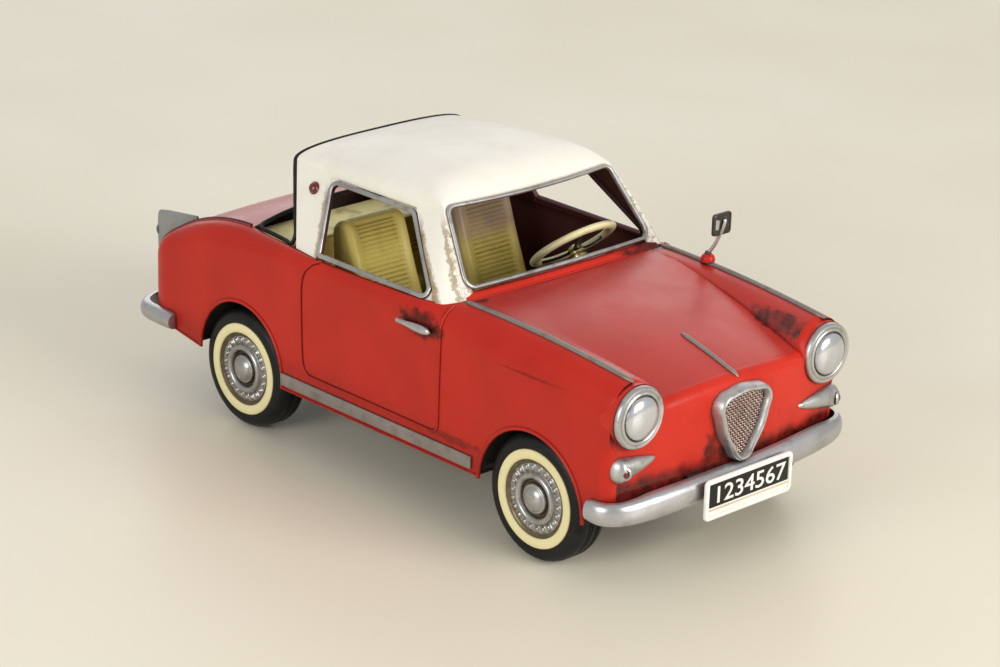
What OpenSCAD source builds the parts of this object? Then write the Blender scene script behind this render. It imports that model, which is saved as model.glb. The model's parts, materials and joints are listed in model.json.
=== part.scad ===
// Tinplate model of a small two-door coupe. Millimetres, +X is the nose, +Y the driver's side, +Z up.
// The origin lies on the ground under the middle of the car.

/* [Body] */
// Width over the flat sides of the body
body_w = 133; // [131:1:135]
// Thickness of the sheet metal
sheet = 0.9; // [0.8:0.1:1.1]
// Height of the lower edge of the sills
sill_z = 25.8; // [25:0.2:27]
// Height of the roof at its highest point
roof_top = 133.5; // [131:0.5:136]
// Width of the roof over the tops of the side windows
roof_w = 96; // [92:1:98]

/* [Wheels] */
// Distance between the two axles
wheelbase = 180; // [179:0.5:181]
// Outer diameter of a tyre
tyre_d = 52.6; // [51:0.2:52.8]
// Width of a tyre
tyre_w = 15.5; // [13:0.5:16]
// Distance over the outer faces of the tyres
track_out = 131; // [129:0.5:131.4]
// Diameter of the whitewall
whitewall_d = 40.6; // [38:0.2:42]
// Diameter of the pressed wheel disc
disc_d = 32.2; // [30:0.2:34]
// Diameter of both axles
axle_d = 4; // [3:0.5:5]
// Gap all round an axle in its bearing
axle_play = 0.05; // [0.03:0.01:0.08]

/* [Lamps and trim] */
// Outer diameter of a headlamp rim
headlamp_d = 26; // [24:0.5:27]
// Height of the headlamps
headlamp_z = 71.4; // [70:0.2:72]
// Height of the front bumper's section
bumper_h = 12; // [10:0.5:13]
// Width of the number plate
plate_w = 50; // [40:1:56]
// Height of the number plate
plate_h = 16; // [12:0.5:17]
// Width of the frames round the windows
frame_w = 2.2; // [1.8:0.1:2.6]

/* [Cabin] */
// Outer diameter of the steering wheel
steer_d = 40; // [36:1:41]
// Slope of the steering column, from level
steer_tilt = 50; // [46:1:53]
// Width of a bucket seat
seat_w = 33; // [30:1:36]

/* [Hidden] */
$fn = 64;

red = "firebrick";
cream = "ivory";
trim = "silver";

// Body stations along X
half_w = body_w / 2;
front_axle_x = 101;
rear_axle_x = front_axle_x - wheelbase;
axle_z = tyre_d / 2;
tail_x = -146;
tail_corner = 14;
deck_x = -81;
deck_gap_x = -89;
cowl_x = 51;
nose_x = 146.5;
nose_roll = 5;
side_front_x = 141;
front_corner = 6.5;

// Wheel arches: half circles cut into the side panels
rear_arch_r = 27.4;
rear_arch_z = 29.4;
front_arch_x = front_axle_x - 1.4;
front_arch_r = 28.9;
front_arch_z = 25.4;

// Rear end: the ridge falls along a quarter ellipse from the deck to the tail
tail_ridge_z = 54;
deck_rise = 34.6;
deck_crown = 2;
tail_low_z = 35;

// Front end
belt_z = 88.6;
ridge_front_z = 91.2;
ridge_drop = 6.5;
bonnet_z = 91;
bonnet_drop = 16.1;
crease_drop = 19.5;
nose_low_z = 31;

// Windows
screen_low = [46.1, 53.4, 94];
screen_top = [25, 47.2, 123.4];
screen_gap = 0.7;
window_low_z = 88.6;
window_top_z = 118.2;
window_y = 63;
window_low_x = [-33, 35];
window_top_x = [-42, 10];
pillar_low_x = -49;
roof_rear_x = -65;

// Cabin
steer_hub = [26.9, 30, 85.4];
seat_y = 30;

function sum(v, k = 0) = k == len(v) ? v[0] * 0 : v[k] + sum(v, k + 1);
function centre(v) = sum(v) / len(v);
function mix(a, b, t) = a + (b - a) * t;
function steps(a, b, n) = [for (k = [0 : n]) a + (b - a) * k / n];
function ease(t) = let (s = min(1, max(0, t))) s * s * (3 - 2 * s);

// Joins a list of rings, each a list of points, into one closed solid
module sweep(rings, loop = false) {
    n = len(rings[0]);
    m = len(rings);
    c = centre(rings[0]);
    along = centre(rings[1]) - c;
    ccw = cross(rings[0][0] - c, rings[0][1] - c) * along > 0;
    segments = loop ? m : m - 1;
    sides = [for (i = [0 : segments - 1]) for (k = [0 : n - 1])
        let (a = i * n + k, b = i * n + (k + 1) % n,
             d = ((i + 1) % m) * n + k, e = ((i + 1) % m) * n + (k + 1) % n)
        for (f = ccw ? [[a, d, e], [a, e, b]] : [[a, e, d], [a, b, e]]) f];
    start = [for (k = [0 : n - 1]) ccw ? k : n - 1 - k];
    end = [for (k = [0 : n - 1]) (m - 1) * n + (ccw ? n - 1 - k : k)];
    polyhedron([for (r = rings) for (p = r) p], concat(sides, loop ? [] : [start, end]), 10);
}

// Outward direction of a grid of points at row i, column j
function grid_normal(g, i, j) =
    let (a = g[min(i + 1, len(g) - 1)][j] - g[max(i - 1, 0)][j],
         b = g[i][min(j + 1, len(g[0]) - 1)] - g[i][max(j - 1, 0)], n = cross(a, b)) n / norm(n);

// Sheet metal of thickness t behind a grid of outer points. keep says which cells are there.
module skin(g, t = sheet, keep = function(i, j) true) {
    m = len(g);
    n = len(g[0]);
    function outer(i, j) = i * n + j;
    function inner(i, j) = m * n + i * n + j;
    function quad(a, b, c, d) = [[a, b, c], [a, c, d]];
    function kept(i, j) = i >= 0 && j >= 0 && i < m - 1 && j < n - 1 && keep(i, j);
    faces = [for (i = [0 : m - 2]) for (j = [0 : n - 2]) if (kept(i, j)) for (f = concat(
        quad(outer(i, j), outer(i, j + 1), outer(i + 1, j + 1), outer(i + 1, j)),
        quad(inner(i, j), inner(i + 1, j), inner(i + 1, j + 1), inner(i, j + 1)),
        kept(i, j - 1) ? [] : quad(outer(i, j), outer(i + 1, j), inner(i + 1, j), inner(i, j)),
        kept(i, j + 1) ? []
            : quad(outer(i + 1, j + 1), outer(i, j + 1), inner(i, j + 1), inner(i + 1, j + 1)),
        kept(i - 1, j) ? [] : quad(outer(i, j + 1), outer(i, j), inner(i, j), inner(i, j + 1)),
        kept(i + 1, j) ? []
            : quad(outer(i + 1, j), outer(i + 1, j + 1), inner(i + 1, j + 1), inner(i + 1, j))
        )) f];
    points = [for (r = g) for (p = r) p];
    backs = [for (i = [0 : m - 1]) for (j = [0 : n - 1]) g[i][j] - t * grid_normal(g, i, j)];
    polyhedron(concat(points, backs), faces, 10);
}

// Outline of a polygon with every corner rounded to radius r; corners run anticlockwise
function rounded(c, r, n = 6) = [for (k = [0 : len(c) - 1])
    let (p = c[k], a = c[(k + len(c) - 1) % len(c)] - p, b = c[(k + 1) % len(c)] - p,
         u = a / norm(a), v = b / norm(b), half = acos(u * v) / 2, w = (u + v) / norm(u + v),
         m = p + w * r / sin(half), first = atan2(-w[1], -w[0]) - (90 - half))
    for (s = [0 : n]) m + r * [cos(first + (180 - 2 * half) * s / n),
                               sin(first + (180 - 2 * half) * s / n)]];

// ---------------------------------------------------------------- body surface

// Half width of the body wall at x, with the round rear corner
function wall_y(x) = x > tail_x + tail_corner ? half_w
    : half_w - tail_corner + sqrt(max(0, pow(tail_corner, 2) - pow(x - tail_x - tail_corner, 2)));

// Share of the front, 0 at the cowl and 1 at the nose
function front(x) = max(0, (x - cowl_x) / (nose_x - 1 - cowl_x));

// Ridge line: the upper edge of the side panels
function ridge_z(x) = x < deck_x ? tail_ridge_z + deck_rise * sqrt(max(0, 1 - pow((deck_x - x) / (deck_x - tail_x), 2)))
    : x < 34 ? lookup(x, [[deck_x, belt_z], [-33, belt_z - 0.4], [34, belt_z + 0.9]])
    : x < 49 ? mix(belt_z + 0.9, ridge_front_z, ease((x - 34) / 15))
    : ridge_front_z - ridge_drop * pow((x - 49) / 95, 2);
function ridge_y(x) = x < deck_x ? wall_y(x) - mix(1, 8.5, ease((x - tail_x) / 24))
    : x < 34 ? lookup(x, [[deck_x, half_w - 8.5], [-49, half_w - 5], [-33, half_w - 3.5], [34, half_w - 3.5]])
    : x < 49 ? mix(half_w - 3.5, half_w - 10.9, ease((x - 34) / 15))
    : half_w - 10.9 - 0.8 * front(x);

// Height at which the wall begins to round over to the ridge
function shoulder_z(x) = x < deck_x ? ridge_z(x) - mix(4, 10, ease((x - tail_x) / 24))
    : lookup(x, [[deck_x, 78.6], [-49, 82], [34, 82.5], [49, 81], [90, 76], [side_front_x, headlamp_z]]);

// Lower edge of a side panel
function arch(x, cx, cz, r) = abs(x - cx) < r ? cz + sqrt(pow(r, 2) - pow(x - cx, 2)) : 0;
function low_z(x) = max(arch(x, rear_axle_x, rear_arch_z, rear_arch_r),
    arch(x, front_arch_x, front_arch_z, front_arch_r),
    x < rear_axle_x ? mix(tail_low_z, 28.6, (x - tail_x) / 40)
    : x < front_arch_x ? sill_z : mix(27.4, nose_low_z, (x - 128) / 13));

// The front corner turns in below the headlamp and is full behind it
function corner_in(x, z) = x < side_front_x - front_corner ? 0
    : (front_corner - sqrt(max(0, pow(front_corner, 2) - pow(x - side_front_x + front_corner, 2))))
      * mix(0.85, 0.1, ease((z - 54) / 10));

// One section of a side panel, from its lower edge to the ridge
function side_section(x) = let (y = wall_y(x), z0 = low_z(x), z1 = shoulder_z(x), ry = ridge_y(x), rz = ridge_z(x))
    concat([for (z = [z0, mix(z0, z1, 0.5), mix(z0, z1, 0.8)]) [x, y - corner_in(x, z), z]],
        [for (a = [0 : 15 : 90]) let (z = z1 + (rz - z1) * sin(a))
            [x, ry + (y - corner_in(x, z) - ry) * cos(a), z]]);
side_stations = concat(
    [for (a = [90 : -10 : 30]) deck_x + (tail_x - deck_x) * sin(a)],
    [rear_axle_x - rear_arch_r - 0.6],
    [for (a = [180 : -15 : 0]) rear_axle_x + rear_arch_r * cos(a)],
    [rear_axle_x + rear_arch_r + 0.6, -33, 0, 34, 39, 44, 49, 60],
    [front_arch_x - front_arch_r - 0.6],
    [for (a = [180 : -15 : 0]) front_arch_x + front_arch_r * cos(a)],
    [front_arch_x + front_arch_r + 0.6, 134.5, 137.5, 139.8, side_front_x]);

module side_panel_left() {
    color(red) skin([for (k = [len(side_stations) - 1 : -1 : 0]) side_section(side_stations[k])]);
}
module side_panel_right() {
    mirror([0, 1, 0]) side_panel_left();
}

// Height of the bonnet at x, y: crowned between two creases, then up the flanks to the ridges
function crease_y(x) = half_w - 16.5 - 10 * front(x);
function crease_z(x) = ridge_front_z - crease_drop * pow(front(x), 1.6);
function bonnet_height(x, y) = let (s = front(x), c = crease_y(x), a = abs(y), cz = crease_z(x))
    a < c ? mix(cz, bonnet_z - bonnet_drop * s * s, 1 - pow(a / c, 2))
    : mix(cz, ridge_z(x), sqrt(max(0, 1 - pow((ridge_y(x) - a) / (ridge_y(x) - c), 2))));
nose_bow = 0.0015;
function nose_plan(y) = nose_x - nose_bow * y * y;

// Share of the half width for each column of points: even to the crease, finer up the flank
function bonnet_y(x, k) = let (c = crease_y(x) * sign(k), r = ridge_y(x) * sign(k), a = abs(k))
    a <= 5 ? c * a / 5 : mix(c, r, 1 - cos((a - 5) * 22.5));

module bonnet_panel() {
    color(red) skin([for (k = [9 : -1 : -9]) [for (u = steps(0, 1, 12))
        let (x_end = nose_plan(bonnet_y(side_front_x, k)) - nose_roll, x = mix(cowl_x, x_end, u),
             y = bonnet_y(x, k)) [x, y, bonnet_height(x, y)]]]);
}

// The nose turns down from the front edge of the bonnet
module nose_panel() {
    x_of = function(k) nose_plan(bonnet_y(side_front_x, k));
    color(red) skin([for (k = [9 : -1 : -9]) let (x = x_of(k), y = bonnet_y(x - nose_roll, k),
        z = bonnet_height(x - nose_roll, y)) concat(
            [for (a = [0 : 18 : 90]) [x - nose_roll + nose_roll * sin(a), y, z - nose_roll * (1 - cos(a))]],
            [[x, y, mix(nose_low_z, z - nose_roll, 0.5)], [x, y, nose_low_z]])]);
    for (s = [-1, 1])
        color(red) translate([side_front_x - sheet - 0.6, s > 0 ? ridge_y(side_front_x) - 0.5 : -half_w + 6.6, nose_low_z])
            cube([sheet, half_w - 6.1 - ridge_y(side_front_x), headlamp_z - nose_low_z]);
}
module cowl_panel() {
    color(red) translate([0, 52, 0]) rotate([90, 0, 0]) linear_extrude(104)
        polygon([[cowl_x - 0.2, 89.8], [cowl_x - 0.4, 90.8], [47.6, 93.2], [45.4, 93], [cowl_x - 1.6, 89.4]]);
}

// Rear deck behind the wrap-round window, falling along the tail's ellipse
function deck_point(a, v) = let (x = deck_x + (tail_x - deck_x) * sin(a),
    e = deck_gap_x + 8 * v * v, xx = a < 8 ? e : x, y = ridge_y(xx) * v)
    [xx, y, ridge_z(xx) + deck_crown * (1 - v * v) * ease((xx - tail_x) / 12)];
module rear_deck() {
    color(red) skin([for (v = steps(-1, 1, 12)) [for (a = [7, 18, 30, 42, 54, 66, 78, 90]) deck_point(a, v)]]);
}
module tail_panel() {
    w = 2 * (half_w - tail_corner - 1);
    color(red) translate([tail_x, -w / 2, tail_low_z]) cube([sheet, w, tail_ridge_z - 0.2 - tail_low_z]);
}

// ---------------------------------------------------------------- roof

// Line along the tops of the side windows, where the roof's rounding starts
function eave_y(x) = lookup(x, [[roof_rear_x, roof_w / 2 - 0.6], [window_top_x[0], roof_w / 2],
    [window_top_x[1], roof_w / 2], [screen_top[0], screen_top[1]]]);
function eave_z(x) = lookup(x, [[roof_rear_x, 119.6], [window_top_x[0], window_top_z + 0.2],
    [window_top_x[1], 119.2], [screen_top[0], screen_top[2]]]);
function crown_z(x) = x < 9 ? roof_top - 8 * pow((9 - x) / 74, 2)
    : screen_top[2] + 0.4 + (roof_top - screen_top[2] - 0.4) * pow(max(0, 1 - pow((x - 9) / (screen_top[0] - 9), 2.2)), 0.7);
function roof_point(x, a) = let (p = 2 / 2.9, w = eave_y(x), z = eave_z(x))
    [x, w * sign(cos(a)) * pow(abs(cos(a)), p), z + (crown_z(x) - z) * pow(sin(a), p)];

// Outer faces of the pillars, t = 0 at the belt and 1 at the eave
roof_columns = concat(steps(roof_rear_x, window_top_x[0], 3), [-30, -15, 0], steps(window_top_x[1], screen_top[0], 5));
rear_pillar_cells = 2;
front_pillar_cell = 6;
function pillar_point(k, t) = let (x = roof_columns[k], top = roof_point(x, 0),
    low = k <= 3 ? mix([pillar_low_x, half_w - 5.5, 88.4], [window_low_x[0], window_y, window_low_z - 0.4], k / 3)
        : k >= 7 ? mix([window_low_x[1], window_y, 89.6], [48.6, 56, 91.4], (k - 7) / 5)
        : [x, window_y, window_low_z]) mix(low, top, t);
module roof_shell() {
    over = concat([for (t = steps(0, 1, 3)) t], [for (a = [10, 22, 36, 52, 70, 90]) a]);
    left = [for (t = steps(0, 0.99, 3)) [for (k = [0 : len(roof_columns) - 1]) pillar_point(k, t)]];
    top = [for (a = [0, 9, 20, 35, 55, 75, 90, 105, 125, 145, 160, 171, 180]) [for (x = roof_columns) roof_point(x, a)]];
    right = [for (r = [3 : -1 : 0]) [for (p = left[r]) [p[0], -p[1], p[2]]]];
    rows = concat(left, top, right);
    color(cream) skin([for (r = rows) r], 1,
        function(i, j) (i >= 4 && i < len(rows) - 5) || j <= rear_pillar_cells || j >= front_pillar_cell + 1);
}

// ---------------------------------------------------------------- windows and trim

// Corners of a convex outline moved inwards by d
function inset(c, d) = [for (k = [0 : len(c) - 1])
    let (p = c[k], a = c[(k + len(c) - 1) % len(c)] - p, b = c[(k + 1) % len(c)] - p,
         u = a / norm(a), v = b / norm(b), w = (u + v) / norm(u + v)) p + w * d / sin(acos(u * v) / 2)];

// Flat ring that follows an outline with rounded corners
module flat_ring(c, r, width, depth) {
    linear_extrude(depth, center = true) difference() {
        polygon(rounded(c, r));
        polygon(rounded(inset(c, width), r - width));
    }
}
// Round bar along a path; the focus is a point that every section faces
function bar_rings(path, r, focus, loop, sides = 8) = [for (k = [0 : len(path) - 1])
    let (m = len(path), p = path[k], next = loop ? path[(k + 1) % m] : path[min(k + 1, m - 1)],
         last = loop ? path[(k + m - 1) % m] : path[max(k - 1, 0)],
         t = (next - last) / norm(next - last), f = focus - p, a = f - (f * t) * t,
         u = a / norm(a), v = cross(t, u))
    [for (s = [0 : sides - 1]) p + r * cos(s * 360 / sides) * u + r * sin(s * 360 / sides) * v]];

module windscreen_frame() {
    rise = screen_top - screen_low;
    len_up = norm([rise[0], rise[2]]);
    color(trim) translate([screen_low[0] + 0.45, 0, screen_low[2]])
        rotate([0, atan2(rise[0], rise[2]), 0]) rotate([90, 0, 90])
            flat_ring([[-screen_low[1], 0], [screen_low[1], 0], [screen_top[1] - screen_gap, len_up],
                [screen_gap - screen_top[1], len_up]], 5, frame_w, 2);
}
module side_window_frame_left() {
    in = window_y - roof_w / 2;
    up = window_top_z - window_low_z;
    len_up = norm([in, up]);
    color(trim) translate([0, window_y, window_low_z]) rotate([atan2(in, up), 0, 0]) rotate([90, 0, 0])
        flat_ring([[window_low_x[0], 0.4], [window_low_x[1], 0.4], [window_top_x[1], len_up],
            [window_top_x[0], len_up]], 5, frame_w, 2);
}
module side_window_frame_right() {
    mirror([0, 1, 0]) side_window_frame_left();
}

// Rubber round the wrap-round rear window: along the belt, over the deck, up the pillars, over the roof
gasket_r = 0.9;
module rear_window_gasket() {
    side = [for (x = [-52, -60, -70, -77]) [x, ridge_y(x) - 1.6, ridge_z(x) + gasket_r]];
    deck = [for (v = [0.93, 0.86, 0.7, 0.45, 0.2, 0]) let (x = deck_gap_x + 1.6 + 9 * v * v)
        [x, (half_w - 9) * v, ridge_z(x) + deck_crown * (1 - v * v) + gasket_r]];
    pillar = [for (t = [0.9, 0.6, 0.3, 0.06]) mix([pillar_low_x - 1.4, half_w - 7, belt_z],
        [roof_rear_x - 1.3, roof_w / 2 - 1, 119.6], t)];
    roof = [for (a = [90, 75, 58, 42, 28, 16, 7]) roof_point(roof_rear_x, a) - [gasket_r + 0.2, 0, 0.6]];
    half = concat(roof, pillar, side, deck);
    other = [for (k = [len(half) - 2 : -1 : 1]) [half[k][0], -half[k][1], half[k][2]]];
    color("dimgray") sweep(bar_rings(concat(half, other), gasket_r, [-68, 0, 103], true), true);
}

// Half section of a round lens: a rim of height h with a dome of height d on it
module dome_section(r, h, d) {
    polygon(concat([[0, 0], [r, 0]], [for (a = [0 : 18 : 90]) [r * cos(a), h + d * sin(a)]]));
}
// Strip along a line on the body, with a section given as [across, up] points
module strip(line, section, across) {
    sweep([for (p = line) [for (s = section) p + s[0] * across + [0, 0, s[1]]]]);
}
strip_section = [[-1.2, 0], [-0.9, 0.8], [0, 1.1], [0.9, 0.8], [1.2, 0]];
module fender_trim_left() {
    color(trim) strip([for (x = steps(49.5, side_front_x, 14)) [x, ridge_y(x), ridge_z(x)]], strip_section, [0, 1, 0]);
}
module fender_trim_right() {
    mirror([0, 1, 0]) fender_trim_left();
}
module bonnet_trim() {
    x_end = nose_x - nose_roll;
    line = concat([for (x = steps(114.7, x_end, 6)) [x, 0, bonnet_height(x, 0)]],
        [for (a = [18, 36, 54]) [x_end + nose_roll * sin(a), 0,
            bonnet_height(x_end, 0) - nose_roll * (1 - cos(a))]]);
    color(trim) strip(line, [for (p = strip_section) [p[0] * 0.8, p[1]]], [0, 1, 0]);
}
module sill_trim_left() {
    z0 = 28;
    h = 5.4;
    color(trim) translate([-51.4, half_w, 0]) rotate([90, 0, 90]) linear_extrude(118)
        polygon([[0, z0], [0.8, z0 + 0.8], [1.1, z0 + h / 2], [0.8, z0 + h - 0.8], [0, z0 + h]]);
}
module sill_trim_right() {
    mirror([0, 1, 0]) sill_trim_left();
}
module door_handle_left() {
    z = 79;
    color(trim) translate([0, half_w, 0]) {
        for (x = [23.5, 38]) translate([x, 0, z]) rotate([-90, 0, 0]) cylinder(h = 1.4, r = 1.1);
        hull() {
            translate([22, 1.6, z]) sphere(r = 0.8, $fn = 16);
            translate([35, 1.5, z]) sphere(r = 1.2, $fn = 16);
            translate([41, 1.3, z]) sphere(r = 1.1, $fn = 16);
        }
    }
}
module door_handle_right() {
    mirror([0, 1, 0]) door_handle_left();
}

// ---------------------------------------------------------------- lamps, grille and bumpers

lamp_x = 142.3;
lamp_y = half_w - 12.6;
module lamp_at(s) {
    translate([lamp_x, s * lamp_y, headlamp_z]) rotate([0, 90, 0]) children();
}
module headlamp_rim() {
    r = headlamp_d / 2;
    rotate_extrude() polygon(concat([[r - 2.6, 0], [r, 0]],
        [for (a = [0 : 30 : 180]) [r - 1.3 + 1.3 * cos(a), 2.6 + 1.5 * sin(a)]]));
}
// Block in front of which the inner half of a rim sits, level with the face of the nose
module nose_block() {
    y = 48;
    size = [20, 20, 60];
    edge_y = ridge_y(side_front_x) + 0.3;
    translate([nose_plan(y) + 0.05, y, nose_low_z]) rotate([0, 0, atan(2 * nose_bow * y)])
        translate([-size[0], -size[1], 0]) cube([size[0], size[1] + edge_y - y, size[2]]);
}
module headlamp_rim_left() {
    color(trim) difference() {
        lamp_at(1) headlamp_rim();
        nose_block();
    }
}
module headlamp_rim_right() {
    mirror([0, 1, 0]) headlamp_rim_left();
}
module headlamp_lenses() {
    r = headlamp_d / 2 - 2.6;
    color("whitesmoke") for (s = [-1, 1]) lamp_at(s) rotate_extrude()
        polygon(concat([[0, 1.6], [r, 1.6]], [for (a = [0 : 15 : 90]) [r * cos(a), 2.6 + 3.6 * sin(a)]]));
}

// Teardrop signal housing: pointed inboard, broad at the corner of the nose
signal_z = 50;
lens_r = 2.4;
module at_signal(s) {
    translate([nose_plan(lamp_y) + 1.9, s * (half_w - 3.9), signal_z]) rotate([0, 90, s * 40]) children();
}
module signal_housing_left() {
    tip_y = 41.5;
    end_y = half_w - 0.6;
    color(trim) difference() {
        signal_shell(tip_y, end_y);
        at_signal(1) cylinder(h = 9, r = lens_r + 0.05);
    }
}
module signal_shell(tip_y, end_y) {
    sweep([for (t = [0, 0.12, 0.3, 0.5, 0.7, 0.84, 0.93, 0.98, 1])
        let (y = mix(tip_y, end_y, t), swell = t < 0.84 ? 0.16 + 0.84 * pow(t / 0.84, 0.9)
                : sqrt(max(0.02, 1 - pow((t - 0.84) / 0.165, 2))))
        [for (b = [-90 : 22.5 : 90]) [nose_plan(y) + 0.05 + 4.6 * swell * cos(b), y,
            signal_z + 1.3 * (1 - t) + 4.8 * swell * sin(b)]]]);
}
module signal_housing_right() {
    mirror([0, 1, 0]) signal_housing_left();
}
module signal_lenses() {
    color("darkred") for (s = [-1, 1]) at_signal(s) rotate_extrude() dome_section(lens_r, 1, 1.2);
}

grille_outline = [[0, 37.9], [19, 73.5], [-19, 73.5]];
module grille_surround() {
    color(trim) translate([nose_x + 2.6, 0, 0]) rotate([90, 0, 90]) flat_ring(
        grille_outline, 5, 2.5, 5);
}
module grille_mesh() {
    color("peru") translate([nose_x + 1.2, 0, 0]) rotate([90, 0, 90]) linear_extrude(1.2)
        polygon(rounded(inset(grille_outline, 2.5), 2.5));
}

// Half-round bumper bar along its back line, seen from above
module bumper(line, height, depth, end_depth, low) {
    m = len(line);
    color(trim) sweep([for (k = [0 : m - 1]) let (p = line[k], t = line[min(k + 1, m - 1)] - line[max(k - 1, 0)],
        out = [t[1], -t[0]] / norm(t), far = ease((abs(p[1]) - 44) / 22), d = mix(depth, end_depth, far))
        [for (b = [-90 : 22.5 : 90]) [p[0] + out[0] * d * cos(b), p[1] + out[1] * d * cos(b),
            low(p[1]) + mix(height, height - 2, far) / 2 * sin(b)]]]);
}
function bumper_line(face, bow, corner, end, square) = let (
    mid = [for (y = steps(-corner[1], corner[1], 6)) [face - bow * y * y, y]], x0 = mid[0][0],
    turn = [for (a = [18 : 18 : 90]) [corner[0] + (x0 - corner[0]) * pow(cos(a), square),
        corner[1] + (end[1] - 0.1 - corner[1]) * pow(sin(a), square)]])
    concat([[end[0], -end[1]]], [for (k = [len(turn) - 1 : -1 : 0]) [turn[k][0], -turn[k][1]]], mid, turn, [end]);
module front_bumper() {
    bumper(bumper_line(148.2, 0.0009, [136, 50], [132.5, half_w + 0.5], 0.8), bumper_h - 0.5, 4.6, 3.2,
        function(y) 35.4 + 0.03 * y);
}
module rear_bumper() {
    mirror([1, 0, 0]) bumper(bumper_line(151, 0.0003, [136, 50], [124, half_w + 0.6], 0.7), bumper_h - 2, 5, 4,
        function(y) 35.5);
}
module bumper_brackets() {
    color("gray") for (s = [-1, 1]) {
        translate([nose_plan(20), s * 24 - 4, 34]) cube([147.4 - nose_plan(20), 8, 7]);
        translate([-150.5, s * 34 - 4, 34]) cube([150.5 + tail_x, 8, 3.5]);
        translate([152.75, s * 14 - 3, 35.4]) cube([1.75, 6, 4]);
    }
}
module number_plate() {
    color("white") translate([154.5, 0, 32]) rotate([90, 0, 90]) linear_extrude(1.5)
        polygon(rounded([[-plate_w / 2, -plate_h / 2], [plate_w / 2, -plate_h / 2],
            [plate_w / 2, plate_h / 2], [-plate_w / 2, plate_h / 2]], 2));
}
module pillar_lamps() {
    p = mix([-52.5, 60.2, 89], [-52.5, 47.7, 119], 0.78);
    color("darkred") for (s = [-1, 1]) translate([p[0] + 3, s * (p[1] + 0.6), p[2] + 0.2]) rotate([-s * 67, 0, 0])
        rotate_extrude() dome_section(2.7, 0.6, 1.6);
}

// Fin behind each rear fender: rises level from the falling deck and ends in a leaning lamp face
fin_y = 53;
module tail_fin_left() {
    deck = [for (x = [-126, -131, -136, -140, -143.4]) [x, ridge_z(x) + 1.2, mix(81, 77.4, (-124 - x) / 28), x]];
    rear = [[-147.4, 60.5, 77.6, -149], [-149.6, 59, 77, -152]];
    color(trim) sweep([for (r = concat(deck, rear)) let (w = mix(0.8, 3.2, (-124 - r[0]) / 26))
        [[r[0], fin_y - w, r[1]], [r[0], fin_y + w, r[1]], [r[3], fin_y + w, r[2] - 1],
            [r[3], fin_y + w * 0.5, r[2]], [r[3], fin_y - w * 0.5, r[2]], [r[3], fin_y - w, r[2] - 1]]]);
}
module tail_fin_right() {
    mirror([0, 1, 0]) tail_fin_left();
}
module tail_lamp_lenses() {
    color("darkred") for (s = [-1, 1]) translate([-151.05, s * fin_y, 68.5]) rotate([0, -97.6, 0])
        rotate_extrude() dome_section(2.6, 0.5, 1.2);
}

// ---------------------------------------------------------------- chassis and cabin

floor_t = 1.2;
raised_z = 34;
floor_x = [-50, 69];
module floor_pan() {
    w = half_w - sheet;
    narrow = 43;
    color("gray") {
        translate([floor_x[0], -w, sill_z]) cube([floor_x[1] - floor_x[0], 2 * w, floor_t]);
        for (x = [floor_x[0], floor_x[1] - floor_t])
            translate([x, -narrow, sill_z]) cube([floor_t, 2 * narrow, raised_z + floor_t - sill_z]);
        translate([tail_x + sheet, -narrow, raised_z]) cube([floor_x[0] - tail_x - sheet, 2 * narrow, floor_t]);
        translate([floor_x[1], -narrow, raised_z]) cube([143 - floor_x[1], 2 * narrow, floor_t]);
    }
}
well_y = [45.5, half_w - sheet - 0.1];
module wheel_well(x, r, z, s) {
    t = 0.8;
    translate([x, 0, z]) mirror([0, s > 0 ? 0 : 1, 0]) difference() {
        translate([0, well_y[1], 0]) rotate([90, 0, 0]) cylinder(h = well_y[1] - well_y[0], r = r + t);
        translate([0, well_y[1] + 1, 0]) rotate([90, 0, 0]) cylinder(h = well_y[1] - well_y[0] + 1 - t, r = r);
        translate([-r - 2, 0, -r - 2]) cube([2 * r + 4, half_w, r + 2 + 30.5 - z]);
        translate([0, well_y[1] + 1, axle_z - z]) rotate([90, 0, 0]) cylinder(h = 30, r = axle_d);
    }
}
module wheel_wells() {
    color("dimgray") for (s = [-1, 1]) {
        wheel_well(rear_axle_x, 29.3, 28, s);
        wheel_well(front_axle_x, 29.3, 28, s);
    }
}
bracket_y = 38;
module axle_brackets() {
    color("gray") for (x = [rear_axle_x, front_axle_x]) for (s = [-1, 1]) difference() {
        translate([x - 5, s * bracket_y - 1.5, axle_z - 5]) cube([10, 3, raised_z - axle_z + 5]);
        translate([x, s * bracket_y + 3, axle_z]) rotate([90, 0, 0]) cylinder(h = 6, d = axle_d + 2 * axle_play);
    }
}
module chassis_screws() {
    color("silver") for (x = [floor_x[0] + 8, floor_x[1] - 8]) for (s = [-1, 1])
        translate([x, s * 55, sill_z + floor_t]) cylinder(h = 1.6, r = 2.4);
}

module seat(s) {
    z0 = sill_z + floor_t;
    side = [[8, z0], [10, 55], [7, 59.5], [0, 61], [-14, 58.5], [-19, 62], [-31, 92], [-34, 98], [-38.5, 100],
        [-43, 97.5], [-44.5, 92], [-38, 50], [-35, z0]];
    pad = [[7, z0], [9, 53.5], [6, 57.5], [-1, 59], [-15, 56.5], [-20.5, 61], [-32.5, 91.5], [-35.5, 96.5], [-39, 98],
        [-42, 96], [-43, 91], [-37, 50], [-34, z0]];
    translate([0, s * seat_y + (seat_w - 12) / 2, 0]) rotate([90, 0, 0]) linear_extrude(seat_w - 12) polygon(pad);
    for (y = [-seat_w / 2, seat_w / 2 - 6])
        translate([0, s * seat_y + y + 6, 0]) rotate([90, 0, 0]) linear_extrude(6) polygon(side);
}
module seat_left() {
    color("wheat") seat(1);
}
module seat_right() {
    color("wheat") seat(-1);
}
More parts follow.
